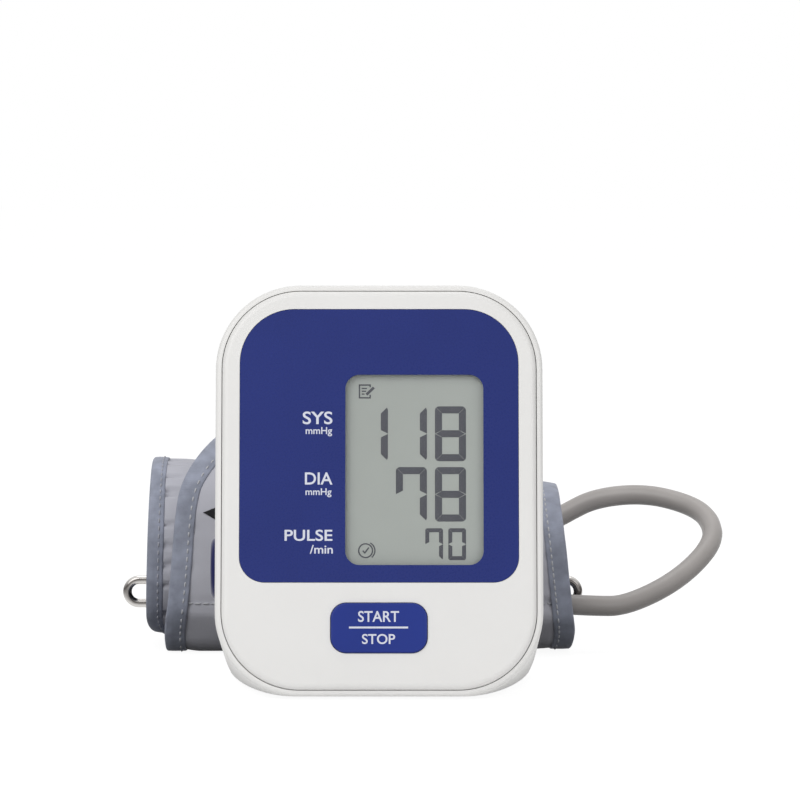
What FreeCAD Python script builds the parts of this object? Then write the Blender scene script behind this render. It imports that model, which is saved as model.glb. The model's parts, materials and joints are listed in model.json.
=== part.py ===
# Upright home blood pressure monitor with its wound arm cuff and air tube.
# Millimetres and degrees. X runs to the right of the display, Y away from the reader, Z up.
# The origin is the middle of the non-slip pad that the monitor stands on.

import FreeCAD, Part
import Sketcher
import math
import os
from types import SimpleNamespace

from FreeCAD import Placement, Rotation, Vector

# Driving dimensions: alias and value, grouped by the piece that they belong to.
DRIVING = {
    "casing": {
        "body_width": 104.0, "body_length": 131.7, "body_corner": 27.0, "base_depth": 80.0,
        "face_lean": 12.0, "back_lean": 6.0, "toe_height": 1.4, "wall": 1.9, "back_round": 9.0,
        "rim_setback": 1.6, "rim_round": 1.5, "parting_gap": 0.2, "overrun": 40.0,
        "fit": 0.05, "play": 0.25,
    },
    "front cover": {
        "cover_depth": 6.0, "cover_wall": 2.2, "cover_lip": 1.8, "cover_round": 2.0,
        "boss_radius": 3.0,
    },
    "base pad": {"pad_thick": 1.0, "pad_width": 58.0, "pad_depth": 50.0, "pad_corner": 8.0},
    "face overlay": {
        "panel_side": 7.8, "panel_foot": 36.1, "panel_head": 8.2, "panel_thick": 0.8,
        "panel_top_corner": 17.3, "panel_bottom_corner": 8.0, "panel_gap": 0.15,
    },
    "display": {
        "window_left": 33.5, "window_right": 11.1, "window_foot": 5.5, "window_head": 21.0,
        "window_corner": 4.5, "lens_margin": 2.0, "lens_thick": 1.2,
        "lcd_margin": 2.4, "lcd_thick": 2.2, "lcd_gap": 1.2, "lcd_corner": 1.0,
        "holder_wall": 1.8, "holder_lip": 0.6, "strip_width": 2.4,
    },
    "circuit board": {
        "pcb_side": 14.0, "pcb_foot": 14.0, "pcb_head": 13.7, "pcb_thick": 1.6,
        "pcb_corner": 14.0, "pcb_depth": 9.4, "pcb_hole_inset": 7.0,
        "chip_side": 12.0, "chip_thick": 1.5, "chip_rise": 40.0,
    },
    "start button": {
        "button_width": 30.5, "button_height": 15.8, "button_corner": 4.9, "button_rise": 21.6,
        "button_proud": 0.8, "button_gap": 0.2, "button_travel": 0.7, "button_round": 0.6,
        "flange_margin": 1.4, "flange_thick": 1.0, "stem_radius": 2.0,
        "switch_side": 6.0, "switch_height": 3.6, "plunger_radius": 1.6, "plunger_proud": 1.2,
        "plunger_sunk": 1.0,
    },
    "fasteners": {
        "case_boss_low": 20.0, "case_boss_head": 43.7,
        "case_boss_split": 14.0, "post_radius": 3.5, "well_radius": 2.6, "post_floor": 4.0,
        "screw_radius": 1.1, "screw_head_radius": 2.2, "screw_head_height": 1.6,
        "pcb_screw_length": 5.0, "case_screw_length": 10.0,
    },
    "battery box": {
        "cell_radius": 7.15, "cell_length": 49.3, "nub_radius": 2.7, "nub_length": 1.2,
        "cell_pitch": 15.0, "spring_length": 4.0, "spring_radius": 4.6, "spring_wire": 0.7,
        "contact_thick": 0.5, "contact_side": 10.0, "bay_rise": 13.5, "bay_margin": 0.5,
        "bay_wall": 1.6, "cover_thick": 2.0, "cover_edge": 2.6, "hinge_pin_radius": 0.8,
        "hinge_pin_length": 1.4, "grip_width": 16.0, "grip_height": 5.0, "grip_depth": 0.8,
    },
    "pump": {
        "pump_head": 35.7, "pump_depth": 27.0, "pump_side": 27.0, "pump_corner": 4.0,
        "pump_right": 34.0, "motor_radius": 12.0, "motor_length": 28.0, "housing_length": 18.0,
        "housing_wall": 2.4, "cap_length": 5.0, "nozzle_radius": 1.6, "nozzle_length": 7.0,
        "shaft_radius": 1.0, "shaft_reach": 9.0, "crank_radius": 5.0, "crank_thick": 3.0,
        "crank_pin_radius": 1.0, "crank_throw": 2.6, "crank_gap": 1.2,
        "plate_radius": 9.0, "plate_thick": 2.5, "cup_radius": 3.6, "cup_length": 3.0,
        "cup_circle": 6.0, "sheet_thick": 1.0, "foam_height": 20.0,
    },
    "air system": {
        "valve_side": 13.0, "valve_length": 20.0, "valve_rise": 59.7, "valve_inset": 19.5,
        "armature_radius": 2.0, "armature_length": 13.0, "armature_head": 3.2,
        "armature_head_thick": 1.4, "armature_travel": 0.8, "branch_inset": 14.5,
        "jack_height": 37.7, "jack_back": 4.0, "jack_radius": 4.5, "jack_flange": 6.0,
        "jack_flange_thick": 2.0, "jack_length": 17.0, "jack_bore": 2.6, "jack_depth": 10.0,
        "line_radius": 2.6, "line_sway": 1.0, "barb_length": 4.0, "tee_radius": 2.6,
        "tee_length": 7.0, "sensor_side": 9.0, "sensor_thick": 5.0, "sensor_inset": 11.5,
        "sensor_port": 3.0,
    },
    "air plug": {
        "scoop_depth": 7.5, "scoop_radius": 11.0, "scoop_wall": 2.0, "plug_radius": 10.0,
        "plug_proud": 2.3, "plug_gap": 0.4, "plug_round": 2.2, "outlet_radius": 4.4,
        "outlet_reach": 14.0, "outlet_lip": 0.7, "plug_nozzle": 8.0,
    },
    "cuff": {
        "cuff_left": 80.6, "cuff_right": 59.0, "roll_front": 98.5, "roll_depth": 62.0,
        "roll_height": 60.0, "roll_drop": 12.4, "lining_thick": 1.2,
        "bladder_thick": 3.0, "bladder_inset": 9.0, "shell_thick": 1.6, "layer_gap": 0.1,
        "binding_width": 5.8, "binding_thick": 0.5, "binding_lift": 0.3, "wrap_binding": 7.0,
        "wrap_thick": 2.6, "wrap_front_gap": 5.2, "wrap_gap": 1.0, "wrap_top_gap": 8.5,
        "wrap_drop": 19.8, "wrap_left": 74.4, "wrap_right": 67.0, "wrap_start": 35.0,
        "tongue_spare": 6.3, "wrap_taper_left": 9.7, "wrap_taper_right": 8.6, "wrap_end_round": 29.5,
        "patch_width": 70.0, "patch_length": 8.0, "patch_thick": 0.8,
    },
    "ring": {
        "ring_wire": 1.5, "ring_left": 88.5, "ring_right": 69.3, "ring_height": 11.0,
        "ring_rise": 19.5, "ring_back": 16.5, "sleeve_thick": 0.8, "sleeve_length": 110.0,
    },
    "air tube": {
        "tube_radius": 3.5, "tube_bore": 2.0, "port_radius": 3.6, "port_rise": 16.2,
        "port_reach": 4.0, "port_lead": 10.0,
    },
}


class Size:
    """A length or angle that keeps its spreadsheet formula beside its number."""

    def __init__(self, value, formula):
        self.value = value
        self.formula = formula

    def __float__(self):
        return float(self.value)

    def joined(self, sign, other, value):
        return Size(value, f"({self.formula} {sign} {as_size(other).formula})")

    def __add__(self, other):
        return self.joined("+", other, float(self) + float(other))

    def __sub__(self, other):
        return self.joined("-", other, float(self) - float(other))

    def __mul__(self, other):
        return self.joined("*", other, float(self) * float(other))

    def __truediv__(self, other):
        return self.joined("/", other, float(self) / float(other))

    def __radd__(self, other):
        return as_size(other) + self

    def __rmul__(self, other):
        return as_size(other) * self

    def __rsub__(self, other):
        return as_size(other) - self

    def __neg__(self):
        return Size(-float(self), f"(-{self.formula})")


def as_size(value):
    return value if isinstance(value, Size) else Size(float(value), repr(float(value)))


def fill_sheet(sheet):
    """Write the driving dimensions into the spreadsheet and return them by name."""
    named = SimpleNamespace()
    row = 0
    for group, sizes in DRIVING.items():
        row += 1
        sheet.set(f"A{row}", group)
        for alias, number in sizes.items():
            row += 1
            sheet.set(f"A{row}", alias)
            sheet.set(f"B{row}", str(number))
            sheet.setAlias(f"B{row}", alias)
            setattr(named, alias, Size(number, f"Sizes.{alias}"))
    return named


doc = FreeCAD.newDocument("blood_pressure_monitor")
s = fill_sheet(doc.addObject("Spreadsheet::Sheet", "Sizes"))
doc.recompute()
NODES = []


# Frames that the pieces are laid out in

def place(x=0, y=0, z=0, turn=Rotation()):
    return Placement(Vector(float(x), float(y), float(z)), turn)


X_AXIS = Vector(1, 0, 0)
Y_AXIS = Vector(0, 1, 0)
Z_AXIS = Vector(0, 0, 1)
QUARTER = 90
ALONG_X = Rotation(Y_AXIS, QUARTER)
ALONG_Y = Rotation(X_AXIS, -QUARTER)
HALF_BASE = s.base_depth / 2
BASE = s.pad_thick

# Face frame: x right, y up the leaning face from its lower edge, z out towards the reader.
FACE = place(0, -HALF_BASE, s.toe_height, Rotation(X_AXIS, QUARTER - float(s.face_lean)))
# Back frame: x right, y up the back from the base, z into the casing.
BACK = place(0, HALF_BASE, BASE, Rotation(X_AXIS, QUARTER + float(s.back_lean)))
WORLD = Placement()


# Shape helpers

def bind(thing, **properties):
    for name, value in properties.items():
        if isinstance(value, Size):
            thing.setExpression(name, value.formula)
        else:
            setattr(thing, name, value)
    return thing


def box(name, x, y, z, at):
    """A box centred on its place in x and y, standing on its place in z."""
    thing = bind(doc.addObject("Part::Box", name), Length=as_size(x), Width=as_size(y), Height=as_size(z))
    thing.Placement = at.multiply(place(-float(x) / 2, -float(y) / 2))
    return thing


def rod(name, radius, length, at):
    thing = bind(doc.addObject("Part::Cylinder", name), Radius=as_size(radius), Height=as_size(length))
    thing.Placement = at
    return thing


def cone(name, low, high, length, at):
    thing = doc.addObject("Part::Cone", name)
    bind(thing, Radius1=as_size(low), Radius2=as_size(high), Height=as_size(length))
    thing.Placement = at
    return thing


def fuse(name, *pieces):
    return bind(doc.addObject("Part::MultiFuse", name), Shapes=list(pieces))


def common(name, *pieces):
    return bind(doc.addObject("Part::MultiCommon", name), Shapes=list(pieces))


def cut(name, base, *tools):
    tool = tools[0] if len(tools) == 1 else fuse(name + "_cuts", *tools)
    return bind(doc.addObject("Part::Cut", name), Base=base, Tool=tool)


def group(name, *pieces):
    return bind(doc.addObject("Part::Compound", name), Links=list(pieces))


def tube(name, radius, bore, length, at):
    outer = rod(name + "_outer", radius, length, at)
    return cut(name, outer, rod(name + "_bore", bore, length, at))


def node(thing, label, frame=None):
    """Keep a finished piece, in its frame, under the name of its file."""
    thing.Label = label
    if frame is not None:
        thing.Placement = frame.multiply(thing.Placement)
    NODES.append(thing)
    return thing


def origin_plane(body, role):
    return next(plane for plane in body.Origin.OriginFeatures if plane.Role == role)


def rounded_sketch(body, name, width, height, low_corner, high_corner):
    """A rectangle about the origin with tangent corner arcs, low ones and high ones."""
    sketch = body.newObject("Sketcher::SketchObject", name)
    sketch.AttachmentSupport = (origin_plane(body, "XY_Plane"), [""])
    sketch.MapMode = "FlatFace"
    half_w = float(width) / 2
    half_h = float(height) / 2
    low = float(low_corner)
    high = float(high_corner)
    corners = [(half_w - low, low - half_h, low, -QUARTER), (half_w - high, half_h - high, high, 0),
               (high - half_w, half_h - high, high, QUARTER), (low - half_w, low - half_h, low, 2 * QUARTER)]
    arcs = []
    for x, y, radius, start in corners:
        circle = Part.Circle(Vector(x, y, 0), Z_AXIS, radius)
        arcs.append(Part.ArcOfCircle(circle, math.radians(start), math.radians(start + QUARTER)))
    for index, arc in enumerate(arcs):
        before = arcs[index - 1]
        sketch.addGeometry(Part.LineSegment(before.EndPoint, arc.StartPoint), False)
        sketch.addGeometry(arc, False)
    bottom, right, top, left = 0, 2, 4, 6
    last = len(sketch.Geometry)
    rules = [Sketcher.Constraint("Tangent", geo, 2, (geo + 1) % last, 1) for geo in range(last)]
    rules += [Sketcher.Constraint("Horizontal", bottom), Sketcher.Constraint("Horizontal", top)]
    rules += [Sketcher.Constraint("Vertical", right), Sketcher.Constraint("Vertical", left)]
    rules += [Sketcher.Constraint("Equal", 1, 7), Sketcher.Constraint("Equal", 3, 5)]
    sketch.addConstraint(rules)
    spans = [("right", right, 1, "DistanceX", width / 2, False),
             ("left", left, 1, "DistanceX", width / 2, True),
             ("top", top, 1, "DistanceY", height / 2, False),
             ("bottom", bottom, 1, "DistanceY", height / 2, True)]
    for label, geo, end, kind, value, flipped in spans:
        ends = (geo, end, -1, 1) if flipped else (-1, 1, geo, end)
        set_rule(sketch, label, Sketcher.Constraint(kind, *ends, float(value)), value)
    set_rule(sketch, "low", Sketcher.Constraint("Radius", 1, low), low_corner)
    set_rule(sketch, "high", Sketcher.Constraint("Radius", 3, high), high_corner)
    return sketch


def set_rule(sketch, label, rule, value):
    index = sketch.addConstraint(rule)
    sketch.renameConstraint(index, label)
    sketch.setExpression(f"Constraints.{label}", as_size(value).formula)


def slab(name, width, height, corner, thick, at, high_corner=None, edge_round=None, both=False):
    """A rounded rectangle padded in +z, its front edge rounded where a radius is given."""
    body = doc.addObject("PartDesign::Body", name)
    high_corner = corner if high_corner is None else high_corner
    sketch = rounded_sketch(body, name + "_sketch", as_size(width), as_size(height), as_size(corner),
                            as_size(high_corner))
    pad = body.newObject("PartDesign::Pad", name + "_pad")
    pad.Profile = sketch
    bind(pad, Length=as_size(thick))
    doc.recompute()
    if edge_round is not None:
        levels = [float(thick), 0.0] if both else [float(thick)]
        edges = flat_edges(pad.Shape, levels)
        rounding = body.newObject("PartDesign::Fillet", name + "_round")
        rounding.Base = (pad, edges)
        bind(rounding, Radius=as_size(edge_round))
    body.Placement = at
    return body


def flat_edges(shape, levels):
    """Names of the edges that lie wholly at one of the given heights."""
    names = []
    for index, edge in enumerate(shape.Edges):
        span = edge.BoundBox
        if any(abs(span.ZMin - level) + abs(span.ZMax - level) < float(s.fit) for level in levels):
            names.append(f"Edge{index + 1}")
    return names


# Casing

HALF_WIDTH = s.body_width / 2
RUN = s.base_depth + s.overrun / 2
BOARD_BACK = s.pcb_depth + s.pcb_thick
PANEL_WIDTH = s.body_width - 2 * s.panel_side
PANEL_HEIGHT = s.body_length - s.panel_foot - s.panel_head
PANEL_RISE = (s.body_length + s.panel_foot - s.panel_head) / 2
WINDOW_WIDTH = PANEL_WIDTH - s.window_left - s.window_right
WINDOW_HEIGHT = PANEL_HEIGHT - s.window_foot - s.window_head
WINDOW_X = (s.window_left - s.window_right) / 2
WINDOW_RISE = PANEL_RISE + (s.window_foot - s.window_head) / 2
PCB_WIDTH = s.body_width - 2 * s.pcb_side
PCB_HEIGHT = s.body_length - s.pcb_foot - s.pcb_head
PCB_RISE = (s.body_length + s.pcb_foot - s.pcb_head) / 2
BOARD_BOSSES = [(side * (PCB_WIDTH / 2 - s.pcb_hole_inset),
                 PCB_RISE + lift * (PCB_HEIGHT / 2 - s.pcb_hole_inset))
                for side in (-1, 1) for lift in (-1, 1)]

CELL_COUNT = 4
BAY_WIDTH = CELL_COUNT * s.cell_pitch + 2 * s.bay_margin
BAY_HEIGHT = s.cell_length + s.nub_length + s.spring_length + 2 * s.contact_thick
BAY_DEPTH = 2 * s.cell_radius + 2 * s.bay_margin
BAY_MIDDLE = s.bay_rise + BAY_HEIGHT / 2
LID_WIDTH = BAY_WIDTH + 2 * s.cover_edge
LID_HEIGHT = BAY_HEIGHT + 2 * s.cover_edge
HINGE_RISE = s.bay_rise - s.cover_edge + s.cover_thick / 2
TUB_WIDTH = LID_WIDTH + 2 * s.play + 2 * s.bay_wall
TUB_HEIGHT = LID_HEIGHT + 2 * s.play + 2 * s.bay_wall
CASE_BOSS_X = (TUB_WIDTH / 2 + HALF_WIDTH - s.wall) / 2
CASE_BOSSES = [(side * CASE_BOSS_X, rise) for side in (-1, 1)
               for rise in (s.case_boss_low, s.body_length - s.case_boss_head)]

SCOOP_FLOOR = HALF_WIDTH - s.scoop_depth
BRANCH_X = s.branch_inset - SCOOP_FLOOR
SENSOR_X = s.sensor_inset - SCOOP_FLOOR
VALVE_X = s.valve_inset - SCOOP_FLOOR
PUMP_RISE = s.body_length - s.pump_head


def on_face(x, rise, depth, turn=Rotation()):
    return FACE.multiply(place(x, rise, -as_size(depth), turn))


def on_back(x, rise, depth, turn=Rotation()):
    return BACK.multiply(place(x, rise, depth, turn))


def casing_block(name, inset, start, front_round, back_round):
    """The casing's outline run back from the face, stopped by the base and the leaning back."""
    run = slab(name + "_run", s.body_width - 2 * inset, s.body_length - 2 * inset, s.body_corner - inset,
               RUN - start, on_face(0, s.body_length / 2, RUN), edge_round=front_round)
    wide = s.body_width + 2 * s.overrun
    deep = s.base_depth + 2 * s.overrun
    under = box(name + "_under", wide, deep, s.overrun, place(0, 0, BASE + inset - s.overrun))
    behind = box(name + "_behind", wide, s.body_length + 2 * s.overrun, 2 * s.overrun,
                 on_back(0, s.body_length / 2, inset - 2 * s.overrun))
    block = cut(name + "_block", run, under, behind)
    doc.recompute()
    plane = BACK.inverse()
    edges = []
    for index, edge in enumerate(block.Shape.Edges):
        ends = [plane.multVec(edge.valueAt(at)).z for at in edge.ParameterRange]
        if all(abs(end - float(inset)) < float(s.fit) for end in ends):
            edges.append((index + 1, float(back_round), float(back_round)))
    return bind(doc.addObject("Part::Fillet", name), Base=block, Edges=edges)


def rear_case():
    outer = casing_block("casing_outer", as_size(0), s.rim_setback, s.rim_round, s.back_round)
    inner = casing_block("casing_inner", s.wall, as_size(0), None, s.back_round - s.wall)
    shell = cut("casing_shell", outer, inner)
    tub = box("battery_tub", TUB_WIDTH, TUB_HEIGHT, s.cover_thick + BAY_DEPTH + s.bay_wall,
              on_back(0, BAY_MIDDLE, 0))
    far = RUN
    posts = [rod("case_post", s.post_radius, far - s.case_boss_split, on_face(x, rise, far))
             for x, rise in CASE_BOSSES]
    liner = scoop("scoop_liner", s.scoop_wall)
    inside = common("casing_inside", outer, fuse("casing_ribs", tub, liner, *posts))
    solid = fuse("casing_solid", shell, inside)
    bay = box("battery_bay", BAY_WIDTH, BAY_HEIGHT, BAY_DEPTH + s.cover_thick, on_back(0, BAY_MIDDLE, 0))
    mouth = box("battery_mouth", LID_WIDTH + 2 * s.play, LID_HEIGHT + 2 * s.play,
                s.overrun + s.cover_thick + s.fit, on_back(0, BAY_MIDDLE, -s.overrun))
    hinge = rod("hinge_bore", s.hinge_pin_radius + s.fit,
                LID_WIDTH + 2 * s.hinge_pin_length + 2 * s.play,
                on_back(-(LID_WIDTH / 2 + s.hinge_pin_length + s.play), HINGE_RISE, s.cover_thick / 2,
                        ALONG_X))
    well_end = s.case_boss_split + s.post_floor
    wells = [rod("screw_well", s.well_radius, far - well_end, on_face(x, rise, far))
             for x, rise in CASE_BOSSES]
    holes = [rod("screw_hole", s.screw_radius + s.fit, s.post_floor + 2 * s.fit,
                 on_face(x, rise, well_end + s.fit)) for x, rise in CASE_BOSSES]
    jack = rod("jack_hole", s.jack_radius + s.fit, s.scoop_wall + 2 * s.play,
               place(-(SCOOP_FLOOR + s.play), s.jack_back, s.jack_height, ALONG_X))
    hollow = scoop("scoop_cut", as_size(0))
    node(cut("rear_case", solid, bay, mouth, hinge, hollow, jack, *wells, *holes), "rear_case")


def scoop(name, grow):
    """The side hollow round the air jack, open to the left and to the back."""
    radius = s.scoop_radius + grow
    length = s.overrun + s.scoop_depth + grow
    left = -(HALF_WIDTH + s.overrun)
    reach = HALF_BASE + s.overrun - s.jack_back
    round_end = rod(name + "_end", radius, length, place(left, s.jack_back, s.jack_height, ALONG_X))
    channel = box(name + "_channel", length, reach, 2 * radius,
                  place(left + length / 2, s.jack_back + reach / 2, s.jack_height - radius))
    return fuse(name, round_end, channel)


def base_pad():
    node(slab("base_pad", s.pad_width, s.pad_depth, s.pad_corner, s.pad_thick, WORLD), "base_pad")


def front_cover():
    inset = s.wall + s.parting_gap
    middle = s.body_length / 2
    plate = slab("cover_plate", s.body_width - 2 * inset, s.body_length - 2 * inset, s.body_corner - inset,
                 s.cover_depth, place(0, middle, -s.cover_depth), edge_round=s.cover_round)
    hollow_inset = inset + s.cover_lip
    hollow = slab("cover_hollow", s.body_width - 2 * hollow_inset, s.body_length - 2 * hollow_inset,
                  s.body_corner - hollow_inset, s.cover_depth,
                  place(0, middle, -(s.cover_depth + s.cover_wall)))
    bosses = [rod("board_boss", s.boss_radius, s.pcb_depth - s.cover_wall, place(x, rise, -s.pcb_depth))
              for x, rise in BOARD_BOSSES]
    bosses += [rod("case_boss", s.boss_radius, s.case_boss_split - s.cover_wall,
                   place(x, rise, -s.case_boss_split)) for x, rise in CASE_BOSSES]
    pilots = [rod("board_pilot", s.screw_radius + s.fit, s.pcb_screw_length, place(x, rise, -s.pcb_depth))
              for x, rise in BOARD_BOSSES]
    pilots += [rod("case_pilot", s.screw_radius + s.fit, s.case_screw_length,
                   place(x, rise, -s.case_boss_split)) for x, rise in CASE_BOSSES]
    recess = slab("panel_recess", PANEL_WIDTH + 2 * s.panel_gap, PANEL_HEIGHT + 2 * s.panel_gap,
                  s.panel_bottom_corner + s.panel_gap, s.overrun, place(0, PANEL_RISE, -s.panel_thick),
                  s.panel_top_corner + s.panel_gap)
    aperture = window_slab("lens_aperture", s.lens_margin + s.panel_gap, s.overrun, s.overrun / 2)
    opening = slab("button_opening", s.button_width + 2 * s.button_gap, s.button_height + 2 * s.button_gap,
                   s.button_corner + s.button_gap, s.overrun, place(0, s.button_rise, -s.overrun / 2))
    clearance = box("floor_clearance", s.body_width, 2 * s.base_depth, s.overrun,
                    FACE.inverse().multiply(place(0, 0, BASE + inset - s.overrun)))
    solid = fuse("cover_solid", cut("cover_shell", plate, hollow), *bosses)
    node(cut("front_cover", solid, recess, aperture, opening, clearance, *pilots), "front_cover", FACE)


# Display and circuit board, in the face frame

def window_slab(name, margin, thick, depth):
    """A piece with the display window's outline grown by a margin, its back at a depth."""
    return slab(name, WINDOW_WIDTH + 2 * margin, WINDOW_HEIGHT + 2 * margin, s.window_corner + margin,
                thick, place(WINDOW_X, WINDOW_RISE, -depth))


LENS_BACK = s.panel_thick + s.lens_thick
GLASS_FRONT = LENS_BACK + s.lcd_gap
GLASS_BACK = GLASS_FRONT + s.lcd_thick


def face_overlay():
    plate = slab("overlay_plate", PANEL_WIDTH, PANEL_HEIGHT, s.panel_bottom_corner, s.panel_thick,
                 place(0, PANEL_RISE, -s.panel_thick), s.panel_top_corner)
    node(cut("face_overlay", plate, window_slab("window_cut", as_size(0), s.overrun, s.overrun / 2)),
         "face_overlay", FACE)


def display_lens():
    node(window_slab("display_lens", s.lens_margin, s.lens_thick, LENS_BACK), "display_lens", FACE)


def glass_slab(name, margin, thick, depth):
    margin = margin + s.lcd_margin
    return slab(name, WINDOW_WIDTH + 2 * margin, WINDOW_HEIGHT + 2 * margin, s.lcd_corner, thick,
                place(WINDOW_X, WINDOW_RISE, -depth))


def display_stack():
    node(glass_slab("display_glass", as_size(0), s.lcd_thick, GLASS_BACK), "display_glass", FACE)
    tall = s.pcb_depth - GLASS_FRONT + s.holder_lip
    frame = glass_slab("holder_block", s.holder_wall + s.panel_gap, tall, s.pcb_depth)
    pocket = glass_slab("holder_pocket", s.panel_gap, tall - s.holder_lip, s.pcb_depth)
    sight = window_slab("holder_sight", s.panel_gap, s.overrun, s.overrun / 2)
    node(cut("display_holder", frame, pocket, sight), "display_holder", FACE)
    reach = WINDOW_HEIGHT / 2 + s.lcd_margin - s.strip_width
    strips = [box("contact_strip", WINDOW_WIDTH, s.strip_width, s.pcb_depth - GLASS_BACK,
                  place(WINDOW_X, WINDOW_RISE + side * reach, -s.pcb_depth)) for side in (-1, 1)]
    node(group("contact_strips", *strips), "contact_strips", FACE)


def circuit_board():
    board = slab("board", PCB_WIDTH, PCB_HEIGHT, s.pcb_corner, s.pcb_thick,
                 place(0, PCB_RISE, -BOARD_BACK))
    holes = [rod("board_hole", s.screw_radius + s.play, s.pcb_thick, place(x, rise, -BOARD_BACK))
             for x, rise in BOARD_BOSSES]
    node(cut("circuit_board", board, *holes), "circuit_board", FACE)
    chip = slab("processor_chip", s.chip_side, s.chip_side, s.play, s.chip_thick,
                place(WINDOW_X, s.chip_rise, -(BOARD_BACK + s.chip_thick)))
    node(chip, "processor_chip", FACE)


def screw(name, length, at):
    """A pan-head screw whose head seats on its place, its shank running in +z."""
    head = rod(name + "_head", s.screw_head_radius, s.screw_head_height,
               at.multiply(place(z=-s.screw_head_height)))
    return fuse(name, head, rod(name + "_shank", s.screw_radius, length, at))


def screws():
    board = [screw("board_screw", s.pcb_thick + s.pcb_screw_length - s.play, place(x, rise, -BOARD_BACK))
             for x, rise in BOARD_BOSSES]
    node(group("board_screws", *board), "board_screws", FACE)
    seat = s.case_boss_split + s.post_floor
    casing = [screw("case_screw", s.post_floor + s.case_screw_length - s.play, place(x, rise, -seat))
              for x, rise in CASE_BOSSES]
    node(group("case_screws", *casing), "case_screws", FACE)


# Start button and its switch, in the face frame

def start_button():
    flange_front = s.cover_wall + s.fit
    flange_back = flange_front + s.flange_thick
    cap = slab("button_cap", s.button_width, s.button_height, s.button_corner, flange_front + s.button_proud,
               place(0, s.button_rise, -flange_front), edge_round=s.button_round)
    flange = slab("button_flange", s.button_width + 2 * s.flange_margin,
                  s.button_height + 2 * s.flange_margin, s.button_corner + s.flange_margin, s.flange_thick,
                  place(0, s.button_rise, -flange_back))
    switch_top = s.pcb_depth - s.switch_height
    plunger_top = switch_top - s.plunger_proud
    stem = rod("button_stem", s.stem_radius, plunger_top - flange_back,
               place(0, s.button_rise, -plunger_top))
    node(fuse("start_button", cap, flange, stem), "start_button", FACE)
    plunger_foot = switch_top + s.plunger_sunk
    plunger = rod("switch_plunger", s.plunger_radius, plunger_foot - plunger_top,
                  place(0, s.button_rise, -plunger_foot))
    node(plunger, "switch_plunger", FACE)
    body = box("switch_body", s.switch_side, s.switch_side, s.switch_height,
               place(0, s.button_rise, -s.pcb_depth))
    sunk = s.plunger_sunk + s.button_travel + s.play
    well = rod("switch_well", s.plunger_radius + s.fit, sunk, place(0, s.button_rise, -(switch_top + sunk)))
    node(cut("push_switch", body, well), "push_switch", FACE)


# Battery cover, cells and contacts, in the back frame

def battery_cover():
    half = s.cover_thick / 2
    plate_height = LID_HEIGHT - half
    plate = box("lid_plate", LID_WIDTH, plate_height, s.cover_thick,
                place(0, HINGE_RISE + plate_height / 2, 0))
    edge = rod("lid_edge", half, LID_WIDTH, place(-(LID_WIDTH / 2), HINGE_RISE, half, ALONG_X))
    pins = rod("lid_pins", s.hinge_pin_radius, LID_WIDTH + 2 * s.hinge_pin_length,
               place(-(LID_WIDTH / 2 + s.hinge_pin_length), HINGE_RISE, half, ALONG_X))
    grip = slab("lid_grip", s.grip_width, s.grip_height, s.grip_height / 2 - s.fit, s.grip_depth,
                place(0, HINGE_RISE + plate_height - s.grip_height - s.cover_edge, 0))
    node(cut("battery_cover", fuse("lid_solid", plate, edge, pins), grip), "battery_cover", BACK)


def cells():
    depth = s.cover_thick + s.bay_margin + s.cell_radius
    low = s.bay_rise + s.contact_thick
    high = s.bay_rise + BAY_HEIGHT - s.contact_thick
    up = Rotation(X_AXIS, -QUARTER)
    down = Rotation(X_AXIS, QUARTER)
    springs = []
    plates = []
    for index in range(CELL_COUNT):
        x = (index - (CELL_COUNT - 1) / 2) * s.cell_pitch
        turned = index % 2 == 1
        foot, turn = (high, down) if turned else (low, up)
        step = -1 if turned else 1
        can_foot = foot + step * s.spring_length
        can = rod("cell_can", s.cell_radius, s.cell_length, place(x, can_foot, depth, turn))
        nub = rod("cell_nub", s.nub_radius, s.nub_length,
                  place(x, can_foot + step * s.cell_length, depth, turn))
        node(fuse("cell", can, nub), f"battery_{index + 1}", BACK)
        wide = cone("spring_outer", s.spring_radius, s.nub_radius, s.spring_length,
                    place(x, foot, depth, turn))
        hollow = cone("spring_inner", s.spring_radius - s.spring_wire, s.nub_radius - s.spring_wire,
                      s.spring_length, place(x, foot, depth, turn))
        springs.append(cut("battery_spring", wide, hollow))
        for end in (s.bay_rise, high):
            plates.append(box("contact_plate", s.contact_side, s.contact_thick, s.contact_side,
                              place(x, end + s.contact_thick / 2, depth - s.contact_side / 2)))
    node(group("battery_springs", *springs), "battery_springs", BACK)
    node(group("contact_plates", *plates), "contact_plates", BACK)


# Air pump, in the face frame with its shaft along x

MOTOR_LEFT = s.pump_right - s.motor_length
HOUSING_LEFT = MOTOR_LEFT - s.housing_length
SHEET_LEFT = HOUSING_LEFT - s.sheet_thick
CAP_LEFT = SHEET_LEFT - s.cap_length
PLATE_LEFT = HOUSING_LEFT + s.cup_length
CRANK_LEFT = MOTOR_LEFT - s.crank_gap - s.crank_thick
CUP_COUNT = 3


def on_pump(x, up=0, out=0):
    return place(x, PUMP_RISE + up, out - s.pump_depth, ALONG_X)


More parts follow.
